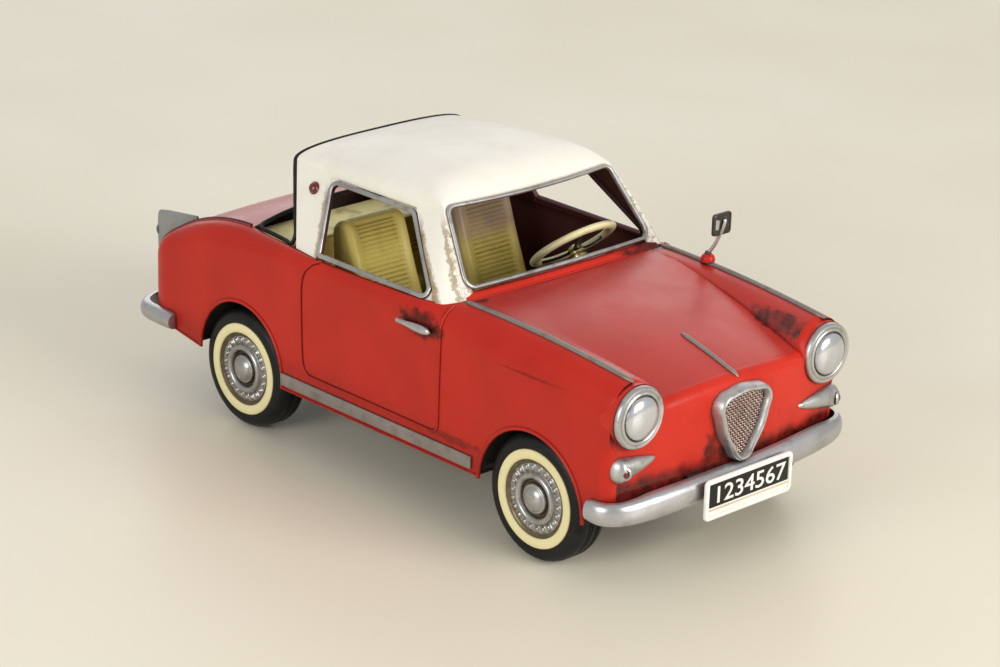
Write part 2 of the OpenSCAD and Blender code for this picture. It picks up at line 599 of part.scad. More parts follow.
module rear_bench() {
    color("wheat") translate([0, 43, 0]) rotate([90, 0, 0]) linear_extrude(86)
        polygon([[-52.5, raised_z + floor_t], [-53, 58], [-70, 56], [-79, 83], [-86, 83], [-84, raised_z + floor_t]]);
}
module parcel_shelf() {
    color("wheat") translate([-86.5, -54, 84]) cube([26, 108, 1.2]);
}
module dashboard() {
    color("maroon") translate([0, 55, 0]) rotate([90, 0, 0]) linear_extrude(110)
        polygon([[44, 88], [36, 87], [33.5, 82], [35, 73], [38, 72], [38, 82], [44, 84]]);
}

steer_dir = [-cos(steer_tilt), 0, sin(steer_tilt)];
shaft_d = 4;
module on_column(d) {
    translate(steer_hub + d * steer_dir) rotate([0, steer_tilt - 90, 0]) children();
}
module steering_column() {
    color("dimgray") {
        on_column(-19) cylinder(h = 16.4, r = 3);
        on_column(-2.7) cylinder(h = 4.4, d = shaft_d);
    }
}
module steering_wheel() {
    ring_r = 1.7;
    rise = 6;
    r = steer_d / 2 - ring_r;
    hub_r = 3.6;
    spoke = [r - hub_r + 1, 0, rise - 1.4];
    color("ivory") on_column(0) {
        translate([0, 0, rise]) rotate_extrude() translate([r, 0]) circle(r = ring_r, $fn = 24);
        difference() {
            union() {
                translate([0, 0, -2.4]) cylinder(h = 5.2, r = hub_r);
                for (a = [90 : 120 : 330]) rotate([0, 0, a]) translate([hub_r - 1, 0, 1.4])
                    rotate([0, atan2(spoke[0], spoke[2]), 0]) cylinder(h = norm(spoke), r = 0.9);
            }
            translate([0, 0, -3]) cylinder(h = 5, d = shaft_d + 2 * axle_play);
        }
    }
}

// ---------------------------------------------------------------- mirror

mirror_x = 76.5;
pin_r = 0.9;
boss_h = 3.4;
module at_mirror() {
    translate([mirror_x, ridge_y(mirror_x), ridge_z(mirror_x) + 1.1]) children();
}
module mirror_base() {
    color(red) at_mirror() difference() {
        cylinder(h = boss_h, r1 = 3.2, r2 = 2.4);
        translate([0, 0, 0.6]) cylinder(h = boss_h, r = pin_r + axle_play);
    }
}
module mirror_arm() {
    lean = [4, 3.4, 10.5];
    color(trim) at_mirror() {
        translate([0, 0, 0.7]) cylinder(h = boss_h + 0.6, r = pin_r);
        translate([0, 0, boss_h + 1.3]) sphere(r = 1.1);
        translate([0, 0, boss_h + 1.3]) rotate([0, 0, atan2(lean[1], lean[0])])
            rotate([0, atan2(norm([lean[0], lean[1]]), lean[2]), 0]) cylinder(h = norm(lean), r = 0.8);
        translate(lean + [-1.2, -5.8, boss_h - 2.4]) cube([1.4, 11, 9.5]);
    }
}

// ---------------------------------------------------------------- wheelsets

disc_r = disc_d / 2;
module on_axle(x, y) {
    translate([x, y, axle_z]) rotate([90, 0, 0]) children();
}
// A wheel's own axis points out of the car; z = 0 is its outer face
module at_wheel(x, s) {
    translate([x, s * track_out / 2, axle_z]) rotate([-s * 90, 0, 0]) children();
}
module tyre() {
    r = tyre_d / 2;
    shoulder = 3.4;
    bead = 0.6;
    rotate_extrude() polygon(concat(
        [[disc_r, -bead], [whitewall_d / 2, -bead], [whitewall_d / 2, 0]],
        [for (a = [90 : -18 : 0]) [r - shoulder + shoulder * cos(a), -shoulder + shoulder * sin(a)]],
        [for (a = [0 : -18 : -90]) [r - shoulder + shoulder * cos(a), -tyre_w + shoulder + shoulder * sin(a)]],
        [[disc_r, -tyre_w]]));
}
module wheel_disc() {
    rim = 1;
    rotate_extrude() polygon([[axle_d / 2, -9], [axle_d / 2, -2], [0, -2], [0, 1.4], [3.5, 1.2], [6, 0.2], [7.4, -1.6],
        [9.2, -1.9], [13.4, -0.6], [14.6, 0.1], [disc_r, -0.6], [disc_r, -12], [disc_r - rim, -12],
        [disc_r - rim, -1.8], [9.4, -3.2], [5, -3.2], [4, -9]]);
}
module whitewall() {
    rotate_extrude() polygon([[disc_r + 0.05, -0.6], [whitewall_d / 2, -0.6], [whitewall_d / 2, -0.05], [disc_r + 0.05, -0.05]]);
}
module axle(x) {
    half = track_out / 2 - 2.1;
    on_axle(x, half) cylinder(h = 2 * half, d = axle_d);
}
module whitewalls(x) {
    for (s = [-1, 1]) at_wheel(x, s) whitewall();
}
module front_axle() {
    color("gray") axle(front_axle_x);
}
module front_tyre_left() {
    color("black") at_wheel(front_axle_x, 1) tyre();
}
module front_tyre_right() {
    color("black") at_wheel(front_axle_x, -1) tyre();
}
module front_wheel_disc_left() {
    color(trim) at_wheel(front_axle_x, 1) wheel_disc();
}
module front_wheel_disc_right() {
    color(trim) at_wheel(front_axle_x, -1) wheel_disc();
}
module front_whitewalls() {
    color("ivory") whitewalls(front_axle_x);
}
module rear_axle() {
    color("gray") axle(rear_axle_x);
}
module rear_tyre_left() {
    color("black") at_wheel(rear_axle_x, 1) tyre();
}
module rear_tyre_right() {
    color("black") at_wheel(rear_axle_x, -1) tyre();
}
module rear_wheel_disc_left() {
    color(trim) at_wheel(rear_axle_x, 1) wheel_disc();
}
module rear_wheel_disc_right() {
    color(trim) at_wheel(rear_axle_x, -1) wheel_disc();
}
module rear_whitewalls() {
    color("ivory") whitewalls(rear_axle_x);
}

side_panel_left();
side_panel_right();
bonnet_panel();
nose_panel();
cowl_panel();
rear_deck();
tail_panel();
roof_shell();
windscreen_frame();
side_window_frame_left();
side_window_frame_right();
rear_window_gasket();
fender_trim_left();
fender_trim_right();
bonnet_trim();
headlamp_rim_left();
headlamp_rim_right();
headlamp_lenses();
signal_housing_left();
signal_housing_right();
signal_lenses();
grille_surround();
grille_mesh();
front_bumper();
rear_bumper();
bumper_brackets();
number_plate();
door_handle_left();
door_handle_right();
sill_trim_left();
sill_trim_right();
pillar_lamps();
tail_fin_left();
tail_fin_right();
tail_lamp_lenses();
floor_pan();
wheel_wells();
axle_brackets();
chassis_screws();
seat_left();
seat_right();
rear_bench();
parcel_shelf();
dashboard();
steering_column();
mirror_base();
mirror_arm();
steering_wheel();
front_axle();
front_tyre_left();
front_tyre_right();
front_wheel_disc_left();
front_wheel_disc_right();
front_whitewalls();
rear_axle();
rear_tyre_left();
rear_tyre_right();
rear_wheel_disc_left();
rear_wheel_disc_right();
rear_whitewalls();
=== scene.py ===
"""Looks of the tinplate model car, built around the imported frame.

Shapes are in mm, with X forward, Y left and Z up; MM turns them into metres.
"""
import json
import math

import bmesh
import bpy
import numpy as np
from mathutils import Matrix, Vector


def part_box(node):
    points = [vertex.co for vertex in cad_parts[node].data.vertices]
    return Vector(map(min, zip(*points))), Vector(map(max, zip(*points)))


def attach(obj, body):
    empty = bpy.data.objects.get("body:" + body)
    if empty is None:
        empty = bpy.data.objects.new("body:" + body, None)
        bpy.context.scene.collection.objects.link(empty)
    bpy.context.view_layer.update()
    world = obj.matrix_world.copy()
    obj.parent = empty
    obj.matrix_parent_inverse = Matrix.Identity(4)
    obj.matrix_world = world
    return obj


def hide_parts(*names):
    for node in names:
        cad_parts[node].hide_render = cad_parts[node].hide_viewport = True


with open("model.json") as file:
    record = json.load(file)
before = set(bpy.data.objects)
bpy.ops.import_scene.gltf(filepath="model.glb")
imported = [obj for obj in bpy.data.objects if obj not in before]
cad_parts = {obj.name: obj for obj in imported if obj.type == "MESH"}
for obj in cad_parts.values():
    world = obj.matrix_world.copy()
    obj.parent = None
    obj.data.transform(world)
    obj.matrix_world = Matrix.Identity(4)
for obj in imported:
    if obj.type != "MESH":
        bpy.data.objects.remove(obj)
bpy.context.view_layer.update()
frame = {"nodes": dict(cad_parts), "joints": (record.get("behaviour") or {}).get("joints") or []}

MM = 0.001
AHEAD, LEFT, UP = (1, 0, 0), (0, 1, 0), (0, 0, 1)

# ------------------------------------------------------------------ sizes that the frame gives


def box(node):
    low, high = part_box(node)
    return np.array(low) / MM, np.array(high) / MM


JOINTS = {j["name"]: j for j in frame["joints"]}
HALF_W = box("side_panel_left")[1][1]
TAIL_X = box("side_panel_left")[0][0]
SIDE_FRONT_X = box("side_panel_left")[1][0]
NOSE_X = box("nose_panel")[1][0]
COWL_X = box("bonnet_panel")[0][0]
FRONT_X, _, AXLE_Z = np.array(JOINTS["front_wheels_roll"]["pos_m"]) / MM
REAR_X = JOINTS["rear_wheels_roll"]["pos_m"][0] / MM
TYRE_LOW, TYRE_HIGH = box("front_tyre_left")
TYRE_R, TYRE_Y, TYRE_W = (TYRE_HIGH[2] - TYRE_LOW[2]) / 2, TYRE_HIGH[1], TYRE_HIGH[1] - TYRE_LOW[1]
DECK_X, DECK_GAP, BONNET_X = -81.0, -89.0, 49
CORNER, FRONT_CORNER, REAR_ROUND = 14.0, 6.5, 24
NOSE_LOW, NOSE_ROLL, NOSE_BOW = box("nose_panel")[0][2], 5.0, 0.0015
SHEET = 0.9


# ------------------------------------------------------------------ small maths


def unit(v):
    v = np.asarray(v, float)
    return v / np.maximum(np.linalg.norm(v, axis=-1, keepdims=True), 1e-12)


def mix(a, b, t):
    return np.asarray(a, float) * (1 - t) + np.asarray(b, float) * t


def ease(t):
    t = np.clip(t, 0, 1)
    return t * t * (3 - 2 * t)


def through(*knots):
    """Smooth function through (x, y) knots that never overshoots them."""
    x, y = np.array(sorted(knots), float).T
    h, d = np.diff(x), np.diff(y) / np.diff(x)
    m = np.concatenate([[d[0]], np.zeros(len(x) - 2), [d[-1]]])
    for i in range(1, len(x) - 1):
        if d[i - 1] * d[i] > 0:
            m[i] = 2 * d[i - 1] * d[i] / (d[i - 1] + d[i])

    def f(t):
        t = np.clip(t, x[0], x[-1])
        i = np.clip(np.searchsorted(x, t) - 1, 0, len(x) - 2)
        s = (t - x[i]) / h[i]
        return (y[i] * (1 + 2 * s) * (1 - s) ** 2 + m[i] * h[i] * s * (1 - s) ** 2
                + y[i + 1] * s * s * (3 - 2 * s) - m[i + 1] * h[i] * s * s * (1 - s))

    return f


def spline(points, step=1.0, closed=False):
    """Catmull-Rom curve through points, resampled about every step."""
    p = np.asarray(points, float)
    n = len(p)
    ends = (p[-1:], p[:2]) if closed else (2 * p[:1] - p[1:2], 2 * p[-1:] - p[-2:-1])
    pad = np.vstack([ends[0], p, ends[1]])
    out = []
    for i in range(n if closed else n - 1):
        a, b, c, d = pad[i:i + 4]
        for t in np.linspace(0, 1, 24, endpoint=False):
            out.append(0.5 * (2 * b + (c - a) * t + (2 * a - 5 * b + 4 * c - d) * t * t
                              + (3 * b - a - 3 * c + d) * t ** 3))
    out.append(p[0] if closed else p[-1])
    return resample(np.array(out), step, closed)


def resample(q, step, closed=False):
    along = np.concatenate([[0], np.cumsum(np.linalg.norm(np.diff(q, axis=0), axis=1))])
    n = max(4, int(round(along[-1] / step)))
    at = np.linspace(0, along[-1], n + 1)[: n if closed else n + 1]
    return np.stack([np.interp(at, along, q[:, k]) for k in range(q.shape[1])], axis=1)


def even(outline, step):
    """Closed outline resampled about every step."""
    return resample(np.vstack([outline, outline[:1]]), step, True)


def tangents(q, closed=False):
    """Direction of a path at each of its points."""
    if closed:
        return unit(np.roll(q, -1, 0) - np.roll(q, 1, 0))
    return unit(np.vstack([q[1:2] - q[:1], q[2:] - q[:-2], q[-1:] - q[-2:-1]]))


def rounded(corners, r, n=8):
    """Anticlockwise outline, its corners rounded to r: one number, or one for each corner."""
    c = np.asarray(corners, float)
    r = np.broadcast_to(r, len(c))
    out = []
    for k, p in enumerate(c):
        u, v = unit(c[k - 1] - p), unit(c[(k + 1) % len(c)] - p)
        half = math.acos(float(np.clip(u @ v, -1, 1))) / 2
        w = unit(u + v)
        m = p + w * r[k] / math.sin(half)
        first = math.atan2(-w[1], -w[0]) - (math.pi / 2 - half)
        for s in range(n + 1):
            a = first + (math.pi - 2 * half) * s / n
            out.append(m + r[k] * np.array([math.cos(a), math.sin(a)]))
    return np.array(out)


def inward(outline):
    """Inward normal at each point of a closed anticlockwise outline."""
    t = tangents(outline, True)
    return np.stack([-t[:, 1], t[:, 0]], axis=1)


# ------------------------------------------------------------------ mesh parts: each gives (points, faces)


def grid_faces(m, n, wrap=False):
    """Quads between m closed rings of n points; wrap also joins the last ring to the first."""
    return [(i * n + j, i * n + (j + 1) % n, ((i + 1) % m) * n + (j + 1) % n, ((i + 1) % m) * n + j)
            for i in range(m if wrap else m - 1) for j in range(n)]


def loft(rings, closed=False):
    """Solid through closed rings of points, capped at both ends unless closed."""
    rings = np.asarray(rings, float)
    m, n, _ = rings.shape
    faces = grid_faces(m, n, closed)
    if not closed:
        faces += [tuple(range(n)), tuple((m - 1) * n + k for k in range(n))]
    return rings.reshape(-1, 3), faces


def turned(profile, segments=96, shape=None, wrap=True):
    """Profile points (radius, height) turned round Z, its ends joined by wrap.
    shape(r, h, angle) may move them."""
    p = np.asarray(profile, float)
    a = np.linspace(0, 2 * math.pi, segments, endpoint=False)
    r, h = np.repeat(p[:, 0], segments), np.repeat(p[:, 1], segments)
    t = np.tile(a, len(p))
    if shape:
        r, h = shape(r, h, t)
    return np.stack([r * np.cos(t), r * np.sin(t), h], axis=1), grid_faces(len(p), segments, wrap)


def tube(path, radius, sides=10, closed=False):
    """Round bar that twists as little as it can; radius is one number or one for each point."""
    q = np.asarray(path, float)
    t = tangents(q, closed)
    last = np.array(AHEAD if abs(t[0][2]) > 0.9 else UP, float)
    n = []
    for along in t:
        last = unit(last - (last @ along) * along)
        n.append(last)
    n = np.array(n)
    side = np.cross(t, n)
    r = np.broadcast_to(radius, len(q))[:, None, None]
    a = np.linspace(0, 2 * math.pi, sides, endpoint=False)[None, :, None]
    return loft(q[:, None] + r * (np.cos(a) * side[:, None] + np.sin(a) * n[:, None]), closed)


def strip(path, section, up, scale=1.0):
    """Section points (across, up) carried along a path. scale is one number or one for each point."""
    q = np.asarray(path, float)
    up = np.broadcast_to(np.asarray(up, float), q.shape)
    t = tangents(q)
    n = unit(up - (up * t).sum(1, keepdims=True) * t)
    side = np.cross(t, n)
    s = np.asarray(section, float)
    k = np.broadcast_to(scale, len(q))[:, None, None]
    return loft(q[:, None] + k * (s[None, :, :1] * side[:, None] + s[None, :, 1:] * n[:, None]))


def oval(w, h, n=16, power=1.0):
    """Closed oval section of half sizes w and h; power under 1 squares it."""
    a = np.linspace(0, 2 * math.pi, n, endpoint=False)
    return np.stack([w * np.sign(np.cos(a)) * np.abs(np.cos(a)) ** power,
                     h * np.sign(np.sin(a)) * np.abs(np.sin(a)) ** power], axis=1)


def plate(outline, low, high, bevel=0.4, steps=3):
    """Flat solid on XY from low to high with rounded rims."""
    o = np.asarray(outline, float)
    n = inward(o)
    rings = []
    for z, s in ((low, 1), (high, -1)):
        a = np.linspace(0, math.pi / 2, steps + 1)
        part = [(bevel * (1 - math.sin(x)), z + s * bevel * (1 - math.cos(x))) for x in a]
        rings += part if s > 0 else part[::-1]
    return loft([np.column_stack([o + n * d, np.full(len(o), z)]) for d, z in rings])


def sheet(grid, t=SHEET, keep=None, rim=0):
    """Sheet metal behind a grid of outer points: (points, faces, material of each face).
    Its inner side has material 1, its rims have material rim, and keep(i, j) says which cells it has."""
    g = np.asarray(grid, float)
    m, n, _ = g.shape
    di, dj = np.gradient(g, axis=0), np.gradient(g, axis=1)
    back = g - t * unit(np.cross(di, dj))
    pts = np.vstack([g.reshape(-1, 3), back.reshape(-1, 3)])
    held = np.ones((m - 1, n - 1), bool)
    if keep is not None:
        held = np.array([[keep(i, j) for j in range(n - 1)] for i in range(m - 1)])
    faces, mats = [], []

    def at(i, j, inner):
        return (m * n if inner else 0) + i * n + j

    def has(i, j):
        return 0 <= i < m - 1 and 0 <= j < n - 1 and held[i, j]

    for i in range(m - 1):
        for j in range(n - 1):
            if not held[i, j]:
                continue
            c = [(i, j), (i, j + 1), (i + 1, j + 1), (i + 1, j)]
            faces.append(tuple(at(*p, False) for p in c))
            faces.append(tuple(at(*p, True) for p in c[::-1]))
            mats += [0, 1]
            beside = ((i - 1, j), (i, j + 1), (i + 1, j), (i, j - 1))
            for a, b, cell in ((0, 1, beside[0]), (1, 2, beside[1]), (2, 3, beside[2]), (3, 0, beside[3])):
                if not has(*cell):
                    faces.append((at(*c[a], False), at(*c[b], False), at(*c[b], True), at(*c[a], True)))
                    mats.append(rim)
    return pts, faces, mats


def placed(part, origin, x=AHEAD, z=UP):
    """Part moved so that its own Z points along z and its X as near x as it can."""
    z = unit(z)
    x = np.asarray(x, float)
    x = unit(x - (x @ z) * z)
    turn = np.stack([x, np.cross(z, x), z])
    return (part[0] @ turn + np.asarray(origin, float), *part[1:])


def mirrored(part):
    return (part[0] * np.array([1, -1, 1]), *part[1:])


def pair(part, mat=0):
    """A part and its mirror image, for piece()."""
    return [(mat, part), (mat, mirrored(part))]


def piece(name, parts, mats, body="car", angle=38):
    """One object in place of the CAD node of its name. parts are (material index, part) pairs,
    where a part is (points, faces) or (points, faces, material of each face)."""
    pts, faces, index = [], [], []
    for mat, part in parts:
        k = sum(len(p) for p in pts)
        pts.append(np.asarray(part[0], float))
        faces += [tuple(k + i for i in f) for f in part[1]]
        index += [mat + x for x in part[2]] if len(part) > 2 else [mat] * len(part[1])
    mesh = bpy.data.meshes.new(name)
    mesh.from_pydata((np.vstack(pts) * MM).tolist(), [], faces)
    for m in mats:
        mesh.materials.append(m)
    mesh.polygons.foreach_set("material_index", index)
    bm = bmesh.new()
    bm.from_mesh(mesh)
    bmesh.ops.remove_doubles(bm, verts=bm.verts, dist=1e-6)
    bmesh.ops.recalc_face_normals(bm, faces=bm.faces)
    bm.to_mesh(mesh)
    bm.free()
    mesh.polygons.foreach_set("use_smooth", [True] * len(mesh.polygons))
    mesh.set_sharp_from_angle(angle=math.radians(angle))
    obj = bpy.data.objects.new(name, mesh)
    bpy.context.scene.collection.objects.link(obj)
    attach(obj, body)
    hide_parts(name)


def both(name, slot, parts, mats, angle=38):
    """A left piece and its mirror image on the right."""
    piece(f"{name}_left", parts, mats, angle=angle)
    piece(f"{name}_right", [(m, mirrored(p)) for m, p in parts], mats, angle=angle)


# ------------------------------------------------------------------ materials


class Nodes:
    """Short way to build one material's node tree."""

    def __init__(self, name):
        self.mat = bpy.data.materials.new(name)
        self.mat.use_nodes = True
        self.tree = self.mat.node_tree
        self.shader = self.tree.nodes["Principled BSDF"]
        self.where = self.add("ShaderNodeTexCoord").outputs["Object"]

    def add(self, kind, **settings):
        node = self.tree.nodes.new(kind)
        for k, v in settings.items():
            setattr(node, k, v)
        return node

    def link(self, a, b):
        self.tree.links.new(a, b)

    def set(self, socket, value):
        if isinstance(value, bpy.types.NodeSocket):
            self.link(value, socket)
        else:
            socket.default_value = value

    def noise(self, size, detail=4.0, rough=0.6, stretch=(1, 1, 1)):
        """Noise whose grains are about size mm across; stretch above 1 packs them closer along an axis."""
        spread = self.add("ShaderNodeMapping")
        spread.inputs["Scale"].default_value = [s / (size * MM) for s in stretch]
        self.link(self.where, spread.inputs["Vector"])
        node = self.add("ShaderNodeTexNoise")
        node.inputs["Scale"].default_value = 1.0
        node.inputs["Detail"].default_value = detail
        node.inputs["Roughness"].default_value = rough
        self.link(spread.outputs["Vector"], node.inputs["Vector"])
        return node.outputs["Fac"]

    def ramp(self, value, low, high, a=0.0, b=1.0):
        """a below low, b above high, and a smooth change between them."""
        node = self.add("ShaderNodeMapRange", interpolation_type="SMOOTHSTEP")
        self.link(value, node.inputs["Value"])
        for k, v in zip(("From Min", "From Max", "To Min", "To Max"), (low, high, a, b)):
            node.inputs[k].default_value = v
        return node.outputs["Result"]

    def maths(self, how, a, b=0.0):
        node = self.add("ShaderNodeMath", operation=how)
        self.set(node.inputs[0], a)
        self.set(node.inputs[1], b)
        return node.outputs[0]

    def blend(self, share, a, b):
        node = self.add("ShaderNodeMix", data_type="RGBA")
        self.set(node.inputs["Factor"], share)
        for socket, v in ((node.inputs["A"], a), (node.inputs["B"], b)):
            self.set(socket, v if isinstance(v, bpy.types.NodeSocket) else (*v, 1.0))
        return node.outputs["Result"]

    def hollow(self, size):
        """1 in the open and towards 0 in creases narrower than size mm."""
        node = self.add("ShaderNodeAmbientOcclusion", samples=6)
        node.inputs["Distance"].default_value = size * MM
        return node.outputs["AO"]

    def height(self, axis):
        """Position along axis (0 to 2) in mm, in the row frame."""
        node = self.add("ShaderNodeSeparateXYZ")
        self.link(self.where, node.inputs[0])
        return self.maths("MULTIPLY", node.outputs[axis], 1 / MM)

    def spot(self, where, reach, share, both=True):
        """share at a place (x, y, z) in mm, fading to 0 at reach, on both sides of the car unless both is False."""
        spread = self.add("ShaderNodeSeparateXYZ")
        self.link(self.where, spread.inputs[0])
        total = None
        for k in range(3):
            v = self.maths("MULTIPLY", spread.outputs[k], 1 / MM)
            v = self.maths("ABSOLUTE", v) if k == 1 and both else v
            v = self.maths("MULTIPLY", self.maths("SUBTRACT", v, where[k]), 1 / reach[k])
            v = self.maths("MULTIPLY", v, v)
            total = v if total is None else self.maths("ADD", total, v)
        total = self.maths("ADD", total, self.ramp(self.noise(5, 4.0, 0.6), 0.3, 0.7, -0.35, 0.35))
        return self.ramp(total, 0.25, 1.1, share, 0.0)

    def bump(self, *layers):
        """Bump from (noise, depth in mm) layers."""
        last = None
        for fac, depth in layers:
            node = self.add("ShaderNodeBump")
            node.inputs["Strength"].default_value = 1.0
            node.inputs["Distance"].default_value = depth * MM
            self.link(fac, node.inputs["Height"])
            if last is not None:
                self.link(last, node.inputs["Normal"])
            last = node.outputs["Normal"]
        self.link(last, self.shader.inputs["Normal"])


PATCH = (None, 0.0, 9.0)
# Default for the darkening in creases, settled dark paint and painted shade: off, as its colour is None.
WASH_AND_SHADE = (None, 3.0, 0.8, 0.85, 0.0)


def finish_of(name, colour, rough=(0.3, 0.45), metal=0.0, drift=0.12, patch=PATCH, wash_and_shade=WASH_AND_SHADE, grain=(0.6, 0.02),
              brushed=(1, 1, 1), dents=0.0, coat=0.0, gloss=0.5, top=None, below=None, spots=(), stripes=()):
    """Hand-painted surface: a colour that drifts, patches of a second colour, darkening in the creases that is settled
    dark paint and painted shade, grain and dents. Sizes and depths are in mm.
    patch is (colour, share, size), and grain is (size, depth), packed closer along an axis by brushed.
    wash_and_shade is (colour, size, share, openness where it ends, share in creases under a millimetre): it darkens
    creases and gaps with settled dark paint and painted shade.
    top = (height, colour, share) tints what is above a height, and below = (height, fade, share) paints shade on
    what is under one. spots are what Nodes.spot takes, and paint shade and settled dark paint at places. stripes are
    (slope, at, width, share, top): darker lines where x + slope * z is at, up to the height top."""
    n = Nodes(name)
    wash_and_shade, wash_and_shade_size, wash_and_shade_share, wash_and_shade_open, line = (*wash_and_shade, *WASH_AND_SHADE[len(wash_and_shade):])
    large, fine = n.noise(34, 2.0, 0.45), n.noise(grain[0], 5.0, 0.65, brushed)
    darker, lighter = [c * (1 - drift) for c in colour], [min(1, c * (1 + drift)) for c in colour]
    base = n.blend(n.ramp(large, 0.3, 0.7), darker, lighter)
    base = n.blend(n.ramp(fine, 0.25, 0.8, 0.0, 0.22), base, [c * 0.75 for c in colour])
    if patch[0]:
        base = n.blend(n.ramp(n.noise(patch[2], 4.0, 0.6), 0.48, 0.72, 0.0, patch[1]), base, patch[0])
    # top tints what is above a height; on the left seat that tint is painted shade.
    if top:
        high = n.ramp(n.height(2), top[0] - 5, top[0] + 5)
        mottled = n.ramp(n.noise(12, 4.0), 0.25, 0.75, top[2] * 0.6, top[2])
        base = n.blend(n.maths("MULTIPLY", high, mottled), base, top[1])
    # Darkening from ambient occlusion in creases and gaps: settled dark paint and painted shade. Spots, stripes and
    # below add more darkening at places.
    if wash_and_shade:
        broken = n.ramp(n.noise(4.0, 6.0, 0.7), 0.3, 0.7, 0.72, 1.0)
        wash_and_shade_mask = n.ramp(n.hollow(wash_and_shade_size), 0.35, wash_and_shade_open, wash_and_shade_share, 0.0)
        # Fine dark lines in creases under a millimetre: settled dark paint and painted shade beside beads.
        if line:
            wash_and_shade_mask = n.maths("MAXIMUM", wash_and_shade_mask, n.ramp(n.hollow(0.9), 0.55, 0.93, line, 0.0))
        for place in spots:
            wash_and_shade_mask = n.maths("MAXIMUM", wash_and_shade_mask, n.spot(*place))
        for slope, at, width, share, top_z in stripes:
            off = n.maths("SUBTRACT", n.maths("ADD", n.height(0), n.maths("MULTIPLY", n.height(2), slope)), at)
            off = n.maths("ABSOLUTE", n.maths("ADD", off, n.ramp(n.noise(2.6, 5.0, 0.7), 0.3, 0.7, -0.9, 0.9)))
            near = n.ramp(off, width * 0.35, width, share, 0.0)
            under = n.ramp(n.height(2), top_z - 9, top_z, 1.0, 0.0)
            wash_and_shade_mask = n.maths("MAXIMUM", wash_and_shade_mask, n.maths("MULTIPLY", near, under))
        # below paints shade towards the bottom, under a height.
        if below:
            level, fade, share = below
            ragged = n.maths("ADD", n.height(2), n.ramp(n.noise(9, 4.0, 0.6), 0.3, 0.7, -1.3, 1.3))
            wash_and_shade_mask = n.maths("MAXIMUM", wash_and_shade_mask, n.ramp(ragged, level - fade, level + fade, share, 0.0))
        base = n.blend(n.maths("MULTIPLY", wash_and_shade_mask, broken), base, wash_and_shade)
    n.link(base, n.shader.inputs["Base Color"])
    n.shader.inputs["Metallic"].default_value = metal
    n.shader.inputs["Specular IOR Level"].default_value = gloss
    n.link(n.ramp(n.noise(18, 3.0), 0.3, 0.7, *rough), n.shader.inputs["Roughness"])
    if coat:
        n.shader.inputs["Coat Weight"].default_value = coat
        n.shader.inputs["Coat Roughness"].default_value = 0.16
    layers = [(fine, grain[1])]
    if dents:
        layers.append((n.noise(30, 1.0, 0.3), dents))
    n.bump(*layers)
    return n.mat


# Every finish below with a wash_and_shade colour darkens in creases and gaps: settled dark paint and painted shade.
RED = (0.50, 0.021, 0.0105)
DARK = (0.014, 0.007, 0.005)
BROWN = (0.06, 0.038, 0.018)
# The reds darken in creases and gaps up to 6 mm wide: settled dark paint and painted shade.
PAINT = dict(rough=(0.27, 0.38), drift=0.07, wash_and_shade=((0.022, 0.0055, 0.004), 6, 0.95, 0.74, 0.85), grain=(1.1, 0.006),
             dents=0.16, gloss=0.22, patch=((0.42, 0.014, 0.008), 0.45, 30))
red = finish_of("red_paint", RED, **PAINT)
# Sides: painted shade darkens them towards the bottom. The spots paint shadow and settled dark paint round the door
# handle, along the front shoulder and above the sill.
side_red = finish_of("red_side", RED, **PAINT, below=(37, 9, 0.36), spots=[
    ((34.5, HALF_W, 80.2), (14.5, 6, 7), 0.98), ((98, 64, 77), (19, 9, 0.8), 0.5),
    ((58, HALF_W, 37), (20, 6, 2.2), 0.6)])
# Nose: a lighter copy of the red, painted light where the lamps fall on it. below paints the shadow above the bumper,
# and the spots paint shade under the grille, more on the car's right, and under the headlamps.
nose_red = finish_of("red_nose", (0.56, 0.027, 0.013), **PAINT, below=(44.8, 3.2, 1.0), spots=[
    ((147, 0, 43), (9, 19, 10), 0.98), ((147, -14, 47), (9, 5, 11), 0.9, False), ((147, 62, 66), (12, 9, 6), 0.5)])
# Bonnet: a pinker copy of the red with more gloss, and the pinker colour is painted sheen. The spots paint shade along
# the left fender's flank only and at the windscreen's corners.
bonnet_red = finish_of("red_bonnet", (0.47, 0.025, 0.015), **{**PAINT, "gloss": 0.68, "rough": (0.3, 0.4)}, spots=[
    ((126, 45.5, 79), (22, 5, 8), 0.98, False), ((50.5, 53, 91), (4.5, 8, 3), 0.9)])
# Cowl: a lighter copy of the red, which is painted light. The spot paints shade over its left half only.
cowl_red = finish_of("red_cowl", (0.60, 0.024, 0.012), **PAINT, spots=[((48, 50, 92), (6, 19, 4), 0.97, False)])
# Rear deck: a pinker copy of the red with more gloss, and the pinker colour is painted sheen.
deck_red = finish_of("red_deck", (0.46, 0.028, 0.018), **{**PAINT, "gloss": 0.9, "rough": (0.24, 0.33)})
# A dark red for the sunk line beside the door bead: settled dark paint and painted shade along the bead.
bead_shade_red = finish_of("red_bead_shade", (0.17, 0.009, 0.006), **PAINT)
maroon = finish_of("maroon_inside", (0.075, 0.014, 0.015), (0.4, 0.6), drift=0.3, wash_and_shade=(DARK,))
